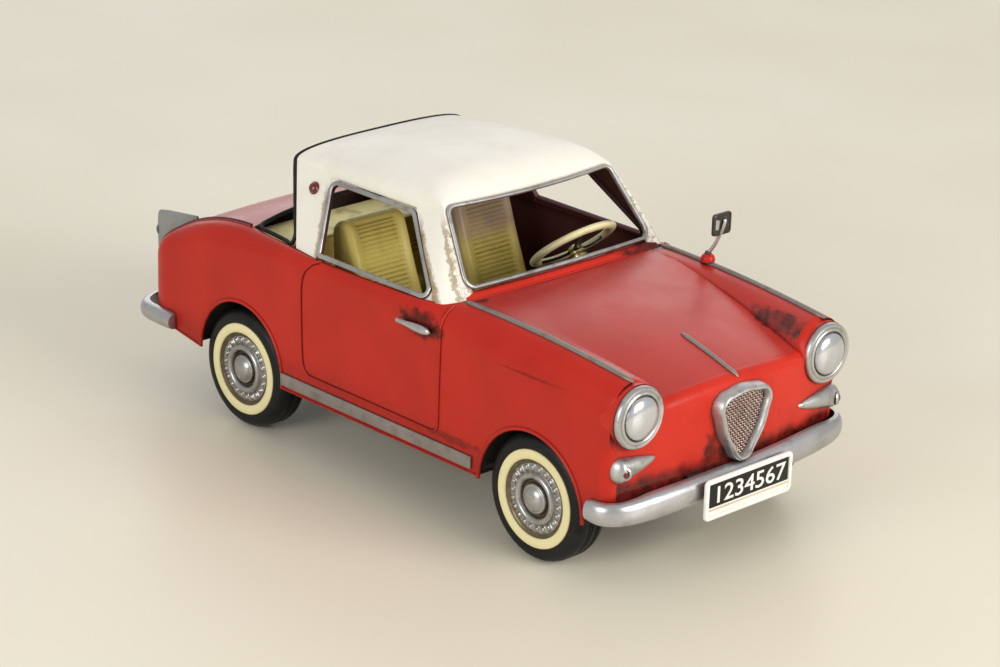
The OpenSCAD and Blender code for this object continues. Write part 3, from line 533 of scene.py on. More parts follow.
# The cream darkens in bands beside the side windows' front and rear edges and along the windscreen's edge, and in its
# creases with settled dark paint and painted shade.
cream = finish_of("cream_paint", (0.89, 0.855, 0.765), (0.36, 0.48), drift=0.03, grain=(0.6, 0.008), dents=0.12,
                  patch=((0.70, 0.61, 0.42), 0.22, 16), wash_and_shade=((0.23, 0.135, 0.022), 3.6, 0.85, 0.8, 0.35), gloss=0.3,
                  stripes=[(0.97, 126.4, 3.9, 0.97, 119), (0.718, 112.9, 1.5, 0.75, 122), (0.304, -7.4, 2.0, 0.7, 118)])
silver = finish_of("silver_paint", (0.52, 0.52, 0.515), (0.27, 0.42), 0.78, patch=((0.19, 0.165, 0.125), 0.55, 6),
                   wash_and_shade=(BROWN, 2.4, 0.92, 0.85, 0.8), grain=(0.8, 0.035), dents=0.06)
bright = finish_of("bright_silver", (0.55, 0.55, 0.56), (0.22, 0.36), 0.85, 0.1, ((0.33, 0.29, 0.235), 0.35, 5),
                   (BROWN, 1.8, 0.9, 0.85, 0.85), (0.6, 0.015))
bumper_mat = finish_of("bumper_silver", (0.52, 0.52, 0.54), (0.26, 0.38), 0.82, 0.1, ((0.28, 0.26, 0.24), 0.4, 9),
                       (BROWN, 4, 0.9), (0.6, 0.014), brushed=(1, 4, 1), dents=0.05)
frame_mat = finish_of("frame_silver", (0.47, 0.465, 0.46), (0.26, 0.42), 0.8, 0.15, ((0.16, 0.135, 0.11), 0.5, 5),
                      (BROWN, 1.6, 0.95, 0.85, 0.95))
trim_grey = finish_of("trim_grey", (0.285, 0.255, 0.235), (0.35, 0.5), 0.5, 0.12, ((0.16, 0.12, 0.085), 0.55, 6),
                      (BROWN, 2.0, 0.8, 0.85, 0.9))
fin_grey = finish_of("fin_grey", (0.275, 0.285, 0.275), (0.4, 0.55), 0.35, 0.15, ((0.17, 0.155, 0.125), 0.5, 8),
                     (BROWN, 3, 0.8, 0.85, 0.8), (0.6, 0.03))
rubber = finish_of("black_rubber", (0.008, 0.0075, 0.0075), (0.5, 0.7), 0, 0.25, ((0.03, 0.024, 0.018), 0.5, 5),
                   gloss=0.25)
tyre_mat = finish_of("tyre_rubber", (0.0055, 0.0055, 0.006), (0.38, 0.55), 0, 0.2, ((0.02, 0.018, 0.016), 0.5, 11),
                     grain=(0.9, 0.02), gloss=0.25)
whitewall_mat = finish_of("whitewall", (0.82, 0.74, 0.42), (0.42, 0.55), 0, 0.04, ((0.72, 0.62, 0.30), 0.35, 9),
                          ((0.30, 0.20, 0.06), 1.6, 0.9, 0.85, 0.9), gloss=0.3)
disc_brown = finish_of("disc_brown", (0.125, 0.095, 0.055), (0.32, 0.5), 0.6, 0.25, ((0.36, 0.33, 0.28), 0.35, 4),
                       ((0.03, 0.018, 0.008), 2, 0.8, 0.85, 0.8))
disc_silver = finish_of("disc_silver", (0.43, 0.425, 0.41), (0.22, 0.36), 0.82, 0.1, ((0.25, 0.215, 0.165), 0.5, 4),
                        ((0.05, 0.035, 0.018), 2.6, 0.97, 0.93, 0.7), (0.6, 0.015))
SEAT = dict(colour=(0.53, 0.42, 0.10), rough=(0.38, 0.55), drift=0.1, patch=((0.40, 0.27, 0.08), 0.45, 9),
            wash_and_shade=((0.15, 0.095, 0.012), 3.2, 0.97, 0.97), gloss=0.28)
seat_mat = finish_of("cream_seat", **SEAT)
# The left seat's upper part is tinted mauve-brown above 81 mm: painted shade from the roof.
seat_shaded = finish_of("shaded_seat", **SEAT, top=(81, (0.29, 0.19, 0.15), 0.95))
shelf_mat = finish_of("cream_shelf", (0.93, 0.83, 0.38), (0.4, 0.55), 0, 0.1, ((0.30, 0.19, 0.08), 0.6, 12),
                      ((0.13, 0.07, 0.035), 4), (0.6, 0.03), gloss=0.3)
ring_cream = finish_of("steering_cream", (0.84, 0.77, 0.44), (0.28, 0.42), 0, 0.06, ((0.56, 0.45, 0.18), 0.5, 7),
                       ((0.14, 0.085, 0.02), 2.2, 0.8, 0.85, 0.8), (0.6, 0.01))
brass = finish_of("old_brass", (0.60, 0.50, 0.22), (0.25, 0.4), 0.75, 0.15, ((0.65, 0.58, 0.34), 0.5, 3),
                  ((0.05, 0.03, 0.01), 2.0, 0.95, 0.93, 0.9))
pearl = finish_of("pearl_lens", (0.60, 0.615, 0.64), (0.14, 0.24), 0.72, 0.06, ((0.68, 0.70, 0.73), 0.5, 7),
                  ((0.16, 0.15, 0.14), 3.4, 0.8, 0.95), (0.6, 0.012), coat=0.35)
red_glass = finish_of("red_lens", (0.13, 0.006, 0.005), (0.1, 0.2), 0, 0.2, wash_and_shade=(DARK, 1.4, 0.8, 0.85, 0.8),
                      grain=(0.6, 0.006), coat=0.6)
copper = finish_of("copper_wire", (0.42, 0.30, 0.26), (0.28, 0.45), 0.85, 0.2, ((0.60, 0.56, 0.53), 0.5, 3),
                   ((0.05, 0.022, 0.016), 1.0, 0.75), (0.6, 0.01))
white_paint = finish_of("plate_white", (0.86, 0.85, 0.81), (0.25, 0.4), 0, 0.03, ((0.74, 0.68, 0.56), 0.2, 9),
                        ((0.45, 0.33, 0.2), 0.9, 0.7), (0.6, 0.008))
black_paint = finish_of("plate_black", (0.009, 0.0085, 0.008), (0.3, 0.5), 0, 0.3, ((0.03, 0.027, 0.024), 0.5, 9),
                        grain=(0.6, 0.015), gloss=0.3)
tan_paint = finish_of("plate_tan", (0.62, 0.50, 0.34), (0.35, 0.5), 0, 0.1, ((0.74, 0.66, 0.52), 0.5, 4))
bronze = finish_of("dark_bronze", (0.07, 0.058, 0.048), (0.3, 0.45), 0.6, 0.3, ((0.15, 0.14, 0.13), 0.6, 4),
                   (DARK, 1.6, 0.8, 0.85, 0.7))
steel = finish_of("bare_steel", (0.33, 0.32, 0.30), (0.3, 0.45), 0.9, 0.1, ((0.17, 0.11, 0.07), 0.45, 5),
                  ((0.05, 0.035, 0.02), 2.5), brushed=(1, 6, 1))
dark_steel = finish_of("dark_steel", (0.02, 0.018, 0.017), (0.5, 0.7), 0.2, 0.25, ((0.06, 0.03, 0.02), 0.4, 12),
                       (DARK, 4), (0.6, 0.03))

# ------------------------------------------------------------------ body surface, as in the CAD


def wall_y(x):
    d = np.clip(TAIL_X + CORNER - np.asarray(x, float), 0, CORNER)
    return HALF_W - CORNER + np.sqrt(CORNER ** 2 - d ** 2)


def front(x):
    return np.clip((np.asarray(x, float) - COWL_X) / (NOSE_X - 1 - COWL_X), 0, None)


mid_ridge_z = through((DECK_X, 88.6), (-33, 88.2), (34, 89.5), (49, 91.2), (60, 91.1))
mid_ridge_in = through((DECK_X, 8.5), (-49, 5), (-33, 3.5), (34, 3.5), (49, 10.9), (60, 10.97))
shoulder_at = through((DECK_X, 78.6), (-49, 82), (34, 82.5), (49, 81), (90, 76), (SIDE_FRONT_X, 71.4))


def ridge_z(x):
    x = np.asarray(x, float)
    rear = 54 + 34.6 * np.clip(1 - ((DECK_X - x) / (DECK_X - TAIL_X)) ** 2, 0, 1) ** 0.58
    return np.where(x < DECK_X, rear, np.where(x < BONNET_X, mid_ridge_z(x), 91.2 - 6.5 * ((x - BONNET_X) / 95) ** 2))


def ridge_y(x):
    x = np.asarray(x, float)
    rear = wall_y(x) - mix(1, 8.5, ease((x - TAIL_X) / REAR_ROUND))
    ahead = np.where(x < BONNET_X, HALF_W - mid_ridge_in(x), HALF_W - 10.9 - 0.8 * front(x))
    return np.where(x < DECK_X, rear, ahead)


def shoulder_z(x):
    x = np.asarray(x, float)
    return np.where(x < DECK_X, ridge_z(x) - mix(4, 10, ease((x - TAIL_X) / REAR_ROUND)), shoulder_at(x))


# Centre X, centre Z and radius of the rear and front wheel arches.
ARCHES = ((REAR_X, 29.4, 27.4), (FRONT_X - 1.4, 25.4, 28.9))


def low_z(x):
    if x < REAR_X:
        low = mix(35, 28.6, (x - TAIL_X) / 40)
    else:
        low = 25.8 if x < ARCHES[1][0] else mix(27.4, NOSE_LOW, (x - 128) / 13)
    for cx, cz, r in ARCHES:
        if abs(x - cx) < r:
            low = max(low, cz + math.sqrt(r * r - (x - cx) ** 2))
    return low


def corner_in(x, z):
    """How far the side has turned in towards the nose."""
    d = np.clip(np.asarray(x, float) - SIDE_FRONT_X + FRONT_CORNER, 0, FRONT_CORNER)
    return (FRONT_CORNER - np.sqrt(FRONT_CORNER ** 2 - d ** 2)) * mix(0.85, 0.1, ease((np.asarray(z, float) - 54) / 10))


def side_y(x, z):
    """Outer face of the body side at x and height z."""
    z1, rz, ry = shoulder_z(x), ridge_z(x), ridge_y(x)
    full = wall_y(x) - corner_in(x, z)
    s = np.clip((z - z1) / (rz - z1), 0, 1)
    return np.where(z < z1, full, ry + (full - ry) * np.sqrt(1 - s * s))


def side_section(x):
    z0, z1 = low_z(x), float(shoulder_z(x))
    a = np.linspace(0, math.pi / 2, 15)
    z = np.concatenate([np.linspace(z0, z1, 26)[:-1], z1 + (float(ridge_z(x)) - z1) * np.sin(a)])
    return np.column_stack([np.full(len(z), x), side_y(x, z), z])


def arch_x(k, n=44):
    cx, _, r = ARCHES[k]
    return cx - r * np.cos(np.linspace(0, math.pi, n))


side_x = np.concatenate([
    DECK_X + (TAIL_X - DECK_X) * np.sin(np.linspace(math.pi / 2, 0.55, 26)), [ARCHES[0][0] - ARCHES[0][2] - 0.4],
    arch_x(0), [ARCHES[0][0] + ARCHES[0][2] + 0.4], np.linspace(-48, 68, 70), [ARCHES[1][0] - ARCHES[1][2] - 0.4],
    arch_x(1), [ARCHES[1][0] + ARCHES[1][2] + 0.4], np.linspace(130, 134.5, 4),
    SIDE_FRONT_X - FRONT_CORNER * (1 - np.sin(np.linspace(0.1, math.pi / 2, 12)))])
side_grid = [side_section(x) for x in side_x[::-1]]


def on_side(points, lift=0.0):
    """Points (x, z) put on the side, lifted off it."""
    p = np.asarray(points, float)
    return np.column_stack([p[:, 0], side_y(p[:, 0], p[:, 1]) + lift, p[:, 1]])


DOOR = [(-29.8, 88.3), (-33.5, 86.6), (-37.6, 82), (-39.3, 76), (-39.4, 68), (-39, 56), (-38.4, 45), (-37.2, 40),
        (-34.6, 37.6), (-30, 36.9), (0, 36.9), (30, 36.8), (42, 36.8), (45.2, 38), (46.1, 41), (46.2, 50), (46.4, 66),
        (46.8, 80), (47.3, 87), (47.6, 90.4)]
door_edge = spline(DOOR, 1.2)
door_line = on_side(door_edge, 0.12)
door_turn = unit(np.gradient(door_edge, axis=0))
door_groove = on_side(door_edge + np.column_stack([-door_turn[:, 1], door_turn[:, 0]]) * 0.85, -0.1)
arch_lines = []
for cx, cz, r in ARCHES:
    a = np.linspace(math.pi, 0, 60)
    arc = np.column_stack([cx + (r + 0.35) * np.cos(a), cz + (r + 0.35) * np.sin(a)])
    foot = [(cx - r - 0.35, low_z(cx - r - 1) + 0.4), (cx + r + 0.35, low_z(cx + r + 1) + 0.4)]
    line = np.vstack([foot[:1] if foot[0][1] < cz else arc[:1], arc, foot[1:] if foot[1][1] < cz else arc[-1:]])
    arch_lines.append(on_side(resample(line, 1.2), -0.1))
sill_line = on_side([(x, 26.4) for x in np.linspace(ARCHES[0][0] + 27.6, ARCHES[1][0] - 29.1, 40)], 0.0)
tail_line = on_side([(x, low_z(x) + 0.5) for x in np.linspace(-131, ARCHES[0][0] - 27.9, 12)], 0.0)

# Material 2 is the dark sunk line beside the door bead: settled dark paint and painted shade along it.
both("side_panel", "red_paint", [
    (0, sheet(side_grid, rim=1)), (0, tube(door_line, 0.6)), (2, tube(door_groove, 0.26)),
    (0, tube(arch_lines[0], 0.85)), (0, tube(arch_lines[1], 0.85)),
    (0, tube(sill_line, 0.5)), (0, tube(tail_line, 0.5))], [side_red, maroon, bead_shade_red])

# ------------------------------------------------------------------ bonnet and nose

CREASE, FLANK = 22, 14


def crease_y(x):
    return HALF_W - 16.5 - 10 * front(x)


def crease_z(x):
    return 91.2 - 19.5 * front(x) ** 1.6


def soften(values, times=3):
    """Rounds a kink by averaging each value with its neighbours; the ends stay."""
    v = np.asarray(values, float).copy()
    for _ in range(times):
        v[1:-1] = v[:-2] / 4 + v[1:-1] / 2 + v[2:] / 4
    return v


def bonnet_line(x):
    """Y and Z of one cross-section from the right ridge to the left one."""
    c, cz, r, rz, s = (float(f(x)) for f in (crease_y, crease_z, ridge_y, ridge_z, front))
    crown = np.linspace(0, 1, CREASE + 1)[:-1]
    a = np.linspace(0, math.pi / 2, FLANK + 1)
    y = np.concatenate([c * crown, c + (r - c) * (1 - np.cos(a))])
    z = np.concatenate([mix(cz, 91 - 16.1 * s * s, 1 - crown ** 2), cz + (rz - cz) * np.sin(a)])
    y, z = np.concatenate([-y[:0:-1], y]), np.concatenate([z[:0:-1], z])
    return y, soften(z)


def nose_plan(y):
    return NOSE_X - NOSE_BOW * np.asarray(y, float) ** 2


y_end, _ = bonnet_line(SIDE_FRONT_X)
bonnet = []
for u in np.linspace(0, 1, 64):
    x_row = mix(COWL_X, nose_plan(y_end) - NOSE_ROLL, u)
    rows = [bonnet_line(x) for x in x_row[: len(x_row) // 2 + 1]]
    half = [(x_row[k], rows[k][0][k], rows[k][1][k]) for k in range(len(rows))]
    bonnet.append(np.array(half + [(x, -y, z) for x, y, z in half[-2::-1]]))
bonnet = np.array(bonnet)
last = bonnet[-1]
face = [last]
for a in np.linspace(0, math.pi / 2, 10)[1:]:
    face.append(last + (NOSE_ROLL * math.sin(a), 0, -NOSE_ROLL * (1 - math.cos(a))))
foot = face[-1].copy()
foot[:, 2] = NOSE_LOW
face += [mix(face[-1], foot, t) for t in np.linspace(0, 1, 26)[1:]]
piece("bonnet_panel", [(0, sheet(bonnet))], [bonnet_red, maroon])

corner_z = np.linspace(NOSE_LOW, 73, 34)
corner = []
for z in corner_z:
    edge = HALF_W - float(corner_in(SIDE_FRONT_X, z))
    y = np.linspace(abs(last[-1][1]), edge, 10)
    corner.append(np.column_stack([nose_plan(y), y, np.full(10, z)]))
corner = sheet(np.array(corner)[:, ::-1])
lamp_low, lamp_high = box("headlamp_rim_left")
LAMP_X, LAMP_Y, LAMP_Z = lamp_low[0], HALF_W - 12.6, (lamp_low[2] + lamp_high[2]) / 2
LAMP_R = (lamp_high[2] - lamp_low[2]) / 2
bucket = [(LAMP_R - inset, h) for inset, h in ((0.9, -9), (0.5, -9), (0.2, -2), (0.05, 0.9), (0.9, 0.9))]
bucket = placed(turned(bucket, 80), (LAMP_X, LAMP_Y, LAMP_Z), x=LEFT, z=AHEAD)
piece("nose_panel", [(0, sheet(face)), *pair(corner), *pair(bucket)], [nose_red, maroon])

cowl = []
cowl_side = [(50.8, 89.9), (50.6, 90.8), (49.7, 91.7), (48.7, 92.5), (47.8, 93.1), (46.6, 93.2), (45.6, 92.6),
             (47.2, 91.0), (49.5, 89.2)]
cowl_y = np.linspace(-1, 1, 41)
for v in cowl_y:
    cowl.append([(x - 1.9 * v * v * (0.3 if k < 3 else 0.6), v * 54.2, z) for k, (x, z) in enumerate(cowl_side)])
cowl_bead = tube([(51.1 - 0.9 * v * v, 53.5 * v, 91.15) for v in cowl_y], 0.42)
piece("cowl_panel", [(0, loft(cowl)), (0, cowl_bead)], [cowl_red])

# ------------------------------------------------------------------ rear deck and tail


def deck_edge(v):
    """X of the deck's front edge, below the rear window."""
    return DECK_GAP + 8 * v * v


def deck_point(a, v):
    x = min(DECK_X + (TAIL_X - DECK_X) * math.sin(a), deck_edge(v))
    return x, float(ridge_y(x)) * v, float(ridge_z(x)) + 2 * (1 - v * v) * float(ease((x - TAIL_X) / 12))


deck = []
for v in np.linspace(-1, 1, 45):
    start = math.asin(min(1, max(0, (DECK_X - deck_edge(v)) / (DECK_X - TAIL_X))))
    deck.append([deck_point(a, v) for a in np.linspace(start, math.pi / 2, 34)])
ridge_x = DECK_X + (TAIL_X - DECK_X) * np.sin(np.linspace(0.02, math.pi / 2 - 0.03, 60))
ridge_bead = np.column_stack([ridge_x, ridge_y(ridge_x), ridge_z(ridge_x) + 0.05])
seam_bead = np.column_stack([ridge_x, ridge_y(ridge_x) - 0.3, ridge_z(ridge_x) + 0.55])
piece("rear_deck", [(0, sheet(deck)), *pair(tube(ridge_bead, 0.55)), *pair(tube(seam_bead, 0.6), 1)],
      [deck_red, maroon])
tail = []
for z in np.linspace(35, 53.9, 14):
    y = np.linspace(-1, 1, 31) * (HALF_W - CORNER - 0.2)
    tail.append(np.column_stack([np.full(31, TAIL_X) + 0.0004 * y * y - 0.02, y, np.full(31, z)]))
lid = [(-42, 53.4), (-42, 44), (-39, 40.2), (-30, 39.4), (30, 39.4), (39, 40.2), (42, 44), (42, 53.4)]
lid = np.array([(TAIL_X - 0.05, y, z) for y, z in spline(lid, 1.2)])
piece("tail_panel", [(0, sheet(tail)), (0, tube(lid, 0.45))], [red, maroon])

# ------------------------------------------------------------------ roof

ROOF_REAR, ROOF_TOP, ROOF_W = -65.0, 133.5, 96.0
WINDOW_Y, WINDOW_LOW_Z, WINDOW_TOP_Z = 63.0, 88.6, 118.2
WINDOW_LOW, WINDOW_TOP = (-33, 39.5), (-42, 10.8)
SCREEN_LOW, SCREEN_TOP, SCREEN_GAP = (46.1, 53.4, 94.0), (25.0, 47.2, 123.4), 0.7
eave_y = through((ROOF_REAR, ROOF_W / 2 - 0.6), (WINDOW_TOP[0], ROOF_W / 2), (WINDOW_TOP[1], ROOF_W / 2 + 0.05),
                 (18, ROOF_W / 2 - 0.25), (SCREEN_TOP[0], SCREEN_TOP[1]))
eave_z = through((ROOF_REAR, 119.6), (WINDOW_TOP[0], WINDOW_TOP_Z + 0.2), (WINDOW_TOP[1], 119.2), (18, 121.0),
                 (SCREEN_TOP[0], SCREEN_TOP[2]))


def crown_z(x):
    drop = ROOF_TOP - SCREEN_TOP[2] - 0.4
    ahead = SCREEN_TOP[2] + 0.4 + drop * np.clip(1 - np.clip((x - 9) / (SCREEN_TOP[0] - 9), 0, 1) ** 2.2, 0, 1) ** 0.7
    return np.where(x < 9, ROOF_TOP - 8 * ((9 - x) / 74) ** 2, ahead)


def roof_point(x, a):
    p = 2 / 2.9
    w, z = float(eave_y(x)), float(eave_z(x))
    c, s = math.cos(a), max(0.0, math.sin(a))
    return np.array([x, w * math.copysign(abs(c) ** p, c), z + (float(crown_z(x)) - z) * s ** p])


PILLAR_COLS = {"rear": 10, "middle": 18, "front": 16}
front_cols = 1 - (1 - np.linspace(0, 1, PILLAR_COLS["front"] + 1)) ** 1.5
columns = np.concatenate([np.linspace(ROOF_REAR, WINDOW_TOP[0], PILLAR_COLS["rear"] + 1)[:-1],
                          np.linspace(WINDOW_TOP[0], WINDOW_TOP[1], PILLAR_COLS["middle"] + 1)[:-1],
                          WINDOW_TOP[1] + (SCREEN_TOP[0] - WINDOW_TOP[1]) * front_cols])
REAR_CELLS, FRONT_CELL = PILLAR_COLS["rear"], PILLAR_COLS["rear"] + PILLAR_COLS["middle"]


def pillar_point(k, t):
    x = columns[k]
    if k <= REAR_CELLS:
        low = mix((-49, HALF_W - 5.5, 88.4), (WINDOW_LOW[0], WINDOW_Y, WINDOW_LOW_Z - 0.4), k / REAR_CELLS)
    elif k >= FRONT_CELL:
        s = (k - FRONT_CELL) / (len(columns) - 1 - FRONT_CELL)
        low = mix((WINDOW_LOW[1], WINDOW_Y, 89.6), (48.6, 56, 91.4), s)
        low = low + np.array([0.8, 1.1, -0.5]) * math.sin(s * math.pi)
    else:
        low = np.array([x, WINDOW_Y, WINDOW_LOW_Z])
    top = roof_point(x, 0)
    swell = np.array([0.2, 0.9, 0.2]) * math.sin(t * math.pi) * (k >= FRONT_CELL)
    return mix(low, top, t) + swell


def bowed(points, share):
    """Points bent forward in the middle, as the windscreen and the roof's front edge are."""
    points = points.copy()
    middle = np.clip(1 - (points[..., 1] / 47.0) ** 2, 0, 1) * share
    climb = np.clip((points[..., 2] - 94) / 29, 0, 1)
    points[..., 0] += (1.3 + 1.4 * climb) * middle
    points[..., 2] -= 0.6 * climb * middle
    return points


PILLAR_ROWS = 18
left = [[pillar_point(k, t) for k in range(len(columns))] for t in np.linspace(0, 1, PILLAR_ROWS + 1)[:-1]]
arcs = np.concatenate([[0], np.radians(np.linspace(2.2, 177.8, 61)), [math.pi]])
top_rows = [[roof_point(x, a) for x in columns] for a in arcs]
rows = np.array(left + top_rows + [[p * np.array([1, -1, 1]) for p in r] for r in left[::-1]])
over = rows[PILLAR_ROWS:-PILLAR_ROWS]
over[:] = bowed(over, np.clip((over[..., 0] - 4) / (SCREEN_TOP[0] - 4), 0, 1) ** 2)


def roof_keep(i, j):
    return PILLAR_ROWS <= i < len(rows) - 1 - PILLAR_ROWS or j < REAR_CELLS or j >= FRONT_CELL


# ------------------------------------------------------------------ window frames and rubber


def frame_bar(width, depth, r=0.55):
    """Section of a window frame: across its width and through its depth, corners rounded."""
    return rounded([(0, -depth / 2), (width, -depth / 2), (width, depth / 2), (0, depth / 2)], r, 3)


def ring_of(outline, section):
    """Closed frame on XY: section (inward, height) carried round the outline."""
    o = np.asarray(outline, float)
    n = inward(o)
    return loft([[(*(o[k] + n[k] * u), w) for u, w in section] for k in range(len(o))], True)


rise = np.array(SCREEN_TOP) - np.array(SCREEN_LOW)
screen_len = math.hypot(rise[0], rise[2])
screen_top_y = SCREEN_TOP[1] - SCREEN_GAP
screen = rounded([(-SCREEN_LOW[1], 0), (SCREEN_LOW[1], 0), (screen_top_y, screen_len), (-screen_top_y, screen_len)],
                 5, 12)
screen = even(screen, 1.6)
up_screen = np.array([rise[0], 0, rise[2]]) / screen_len
out_screen = np.cross([0, 1, 0], up_screen)
screen_ring = placed(ring_of(screen, frame_bar(1.75, 2.2, 0.7)), (SCREEN_LOW[0] + 0.45, 0, SCREEN_LOW[2]), x=LEFT,
                     z=out_screen)
piece("windscreen_frame", [(0, (bowed(screen_ring[0], 1.0), screen_ring[1]))], [frame_mat])

# The sheet between the front pillar and the windscreen frame.
edge = screen[screen[:, 0] > 20]
edge = edge[np.argsort(edge[:, 1])]
flange = []
for t in np.linspace(0, 1, 33):
    outer = pillar_point(len(columns) - 1, t)
    v = (outer[2] - SCREEN_LOW[2]) / up_screen[2]
    y_in = float(np.interp(max(v, 1.2), edge[:, 1], edge[:, 0])) - 0.9
    on_plane = np.array([SCREEN_LOW[0] + 0.1 + v * up_screen[0], y_in, outer[2]])
    flange.append([outer + (0.05, -0.1, 0.05), mix(outer, on_plane, 0.5) + (0.12, 0, 0), on_plane])
flange = sheet(flange)
lean = np.array([0, ROOF_W / 2 - WINDOW_Y, WINDOW_TOP_Z - WINDOW_LOW_Z])
lean_len = float(np.linalg.norm(lean))
pane_corners = np.array([(WINDOW_LOW[0], 0.4), (WINDOW_LOW[1], 0.4), (WINDOW_TOP[1], lean_len),
                         (WINDOW_TOP[0], lean_len)])
ARC = 12
pane = rounded(pane_corners, [2.0, 4.0, 6.5, 4.5], ARC)
out_pane = np.cross(lean / lean_len, [1, 0, 0])


def on_pane(part):
    return placed(part, (0, WINDOW_Y, WINDOW_LOW_Z), z=-out_pane)


# Small sheets that fill the side window's corners outside its round frame.
gussets = []
for k, corner_at in enumerate(pane_corners):
    inward_way = unit(pane_corners.mean(0) - corner_at)
    inner = pane[k * (ARC + 1): (k + 1) * (ARC + 1)] + inward_way * 0.8
    fan = np.vstack([inner[::-1], corner_at - inward_way * 0.6])[::-1]
    n_fan = len(fan)
    ends = np.vstack([np.column_stack([fan, np.full(n_fan, h)]) for h in (0.02, SHEET)])
    faces = [tuple(range(n_fan))[::-1], tuple(range(n_fan, 2 * n_fan))]
    faces += [(i, (i + 1) % n_fan, n_fan + (i + 1) % n_fan, n_fan + i) for i in range(n_fan)]
    gussets.append(on_pane((ends, faces)))
header = tube(rows[PILLAR_ROWS:-PILLAR_ROWS, -1] + (-0.35, 0, -0.5), 0.6)
fill = [flange, *gussets]
piece("roof_shell", [(0, sheet(rows, 1.0, roof_keep)), (0, header), *[(0, f) for f in fill],
                                    *[(0, mirrored(f)) for f in fill]], [cream, maroon], angle=45)
side_frame = on_pane(ring_of(even(pane, 1.2), frame_bar(2.1, 2.6)))
slope = lean[1] / lean[2]
face_mid = np.array([side_frame[0][list(f)].mean(0) for f in side_frame[1]])
inner_side = (face_mid[:, 1] < WINDOW_Y + slope * (face_mid[:, 2] - WINDOW_LOW_Z) + 0.5).astype(int).tolist()
both("side_window_frame", "silver_paint", [(0, (*side_frame, inner_side))], [frame_mat, maroon])

GASKET_R = 0.95
line = [roof_point(ROOF_REAR, math.radians(a)) - (GASKET_R + 0.2, 0, 0.6) for a in (90, 75, 58, 42, 28, 16, 8)]
foot_at, head_at = (-50.6, HALF_W - 6.6, 88.6), (ROOF_REAR - 1.4, ROOF_W / 2 - 0.8, 119.6)
line += [mix(foot_at, head_at, t) for t in (0.9, 0.7, 0.5, 0.3, 0.14)]
line += [(x, float(ridge_y(x)) - 1.4, float(ridge_z(x)) + GASKET_R * 0.7) for x in (-53.5, -58, -64, -71, -77)]
for v in (0.93, 0.86, 0.7, 0.45, 0.2, 0):
    x = DECK_GAP + 1.4 + 9 * v * v
    line.append((x, (HALF_W - 9) * v, float(ridge_z(x)) + 2 * (1 - v * v) + GASKET_R * 0.7))
loop = np.array(line + [(x, -y, z) for x, y, z in line[-2:0:-1]])
piece("rear_window_gasket", [(0, tube(spline(loop, 1.3, True), GASKET_R, 12, True))], [rubber])

# ------------------------------------------------------------------ trim


def bar_section(w, h, n=9):
    """Low rounded strip, flat below."""
    a = np.linspace(0, math.pi, n)
    top = np.column_stack([w * np.cos(a), 0.15 + (h - 0.15) * np.sin(a) ** 0.8])
    return np.vstack([top, [(-w, -0.3), (w, -0.3)]])


def pointed(n, head, tail):
    """Scale along a strip that tapers over its first head and last tail points."""
    k = np.arange(n)
    return np.clip(np.minimum((k + 0.6) / head, (n - k - 0.4) / tail), 0.15, 1) ** 0.6


fender_x = np.linspace(49.5, SIDE_FRONT_X + 0.5, 84)
fender = np.column_stack([fender_x, ridge_y(fender_x), ridge_z(fender_x) + 0.05])
both("fender_trim", "silver_paint", [(0, strip(fender, bar_section(1.25, 1.15), UP, pointed(84, 3, 4)))], [trim_grey])
centre_x = np.linspace(114.7, NOSE_X - NOSE_ROLL, 24)
centre = [(x, 0, 91 - 16.1 * float(front(x)) ** 2) for x in centre_x]
end_x, _, end_z = centre[-1]
centre += [(end_x + NOSE_ROLL * math.sin(a), 0, end_z - NOSE_ROLL * (1 - math.cos(a)))
           for a in np.radians([10, 20, 30, 40, 48])]
piece("bonnet_trim", [(0, strip(centre, bar_section(1.0, 1.1), UP, pointed(len(centre), 2, 4)))],
      [trim_grey])

sill_path = [(x, HALF_W, 30.7) for x in np.linspace(-51.4, 66.6, 60)]
sill_section = rounded([(-2.7, -0.3), (2.7, -0.3), (2.7, 0.85), (-2.7, 0.85)], 0.3, 3)
both("sill_trim", "silver_paint", [(0, strip(sill_path, sill_section, LEFT))], [trim_grey])

handle_at = through((21.6, 0.1), (22.4, 0.75), (28, 1.0), (33, 1.45), (37, 1.55), (40.4, 1.15), (41.6, 0.75),
                    (42.2, 0.15))
handle = []
for x in np.concatenate([np.linspace(21.6, 24, 8), np.linspace(25, 39, 15), np.linspace(39.6, 42.2, 8)]):
    r = float(handle_at(x))
    handle.append([(x, HALF_W + 1.75 + y * 0.9, 79 + z) for y, z in oval(r, r * 1.15, 16, 0.8)])
post = turned([(0.001, 0), (1.2, 0), (0.95, 1.6), (0.001, 1.6)], 20)
posts = [(0, placed(post, (x, HALF_W - 0.1, 79), z=LEFT)) for x in (24.6, 38.4)]
both("door_handle", "silver_paint", [(0, loft(handle)), *posts], [bright])

# ------------------------------------------------------------------ headlamps and signals


def facing(part, x, y, z, turn=0.0):
    """Part whose own Z points to +X, turned outboard by turn degrees."""
    a = math.radians(turn)
    return placed(part, (x, y, z), x=UP, z=(math.cos(a), math.sin(a), 0))


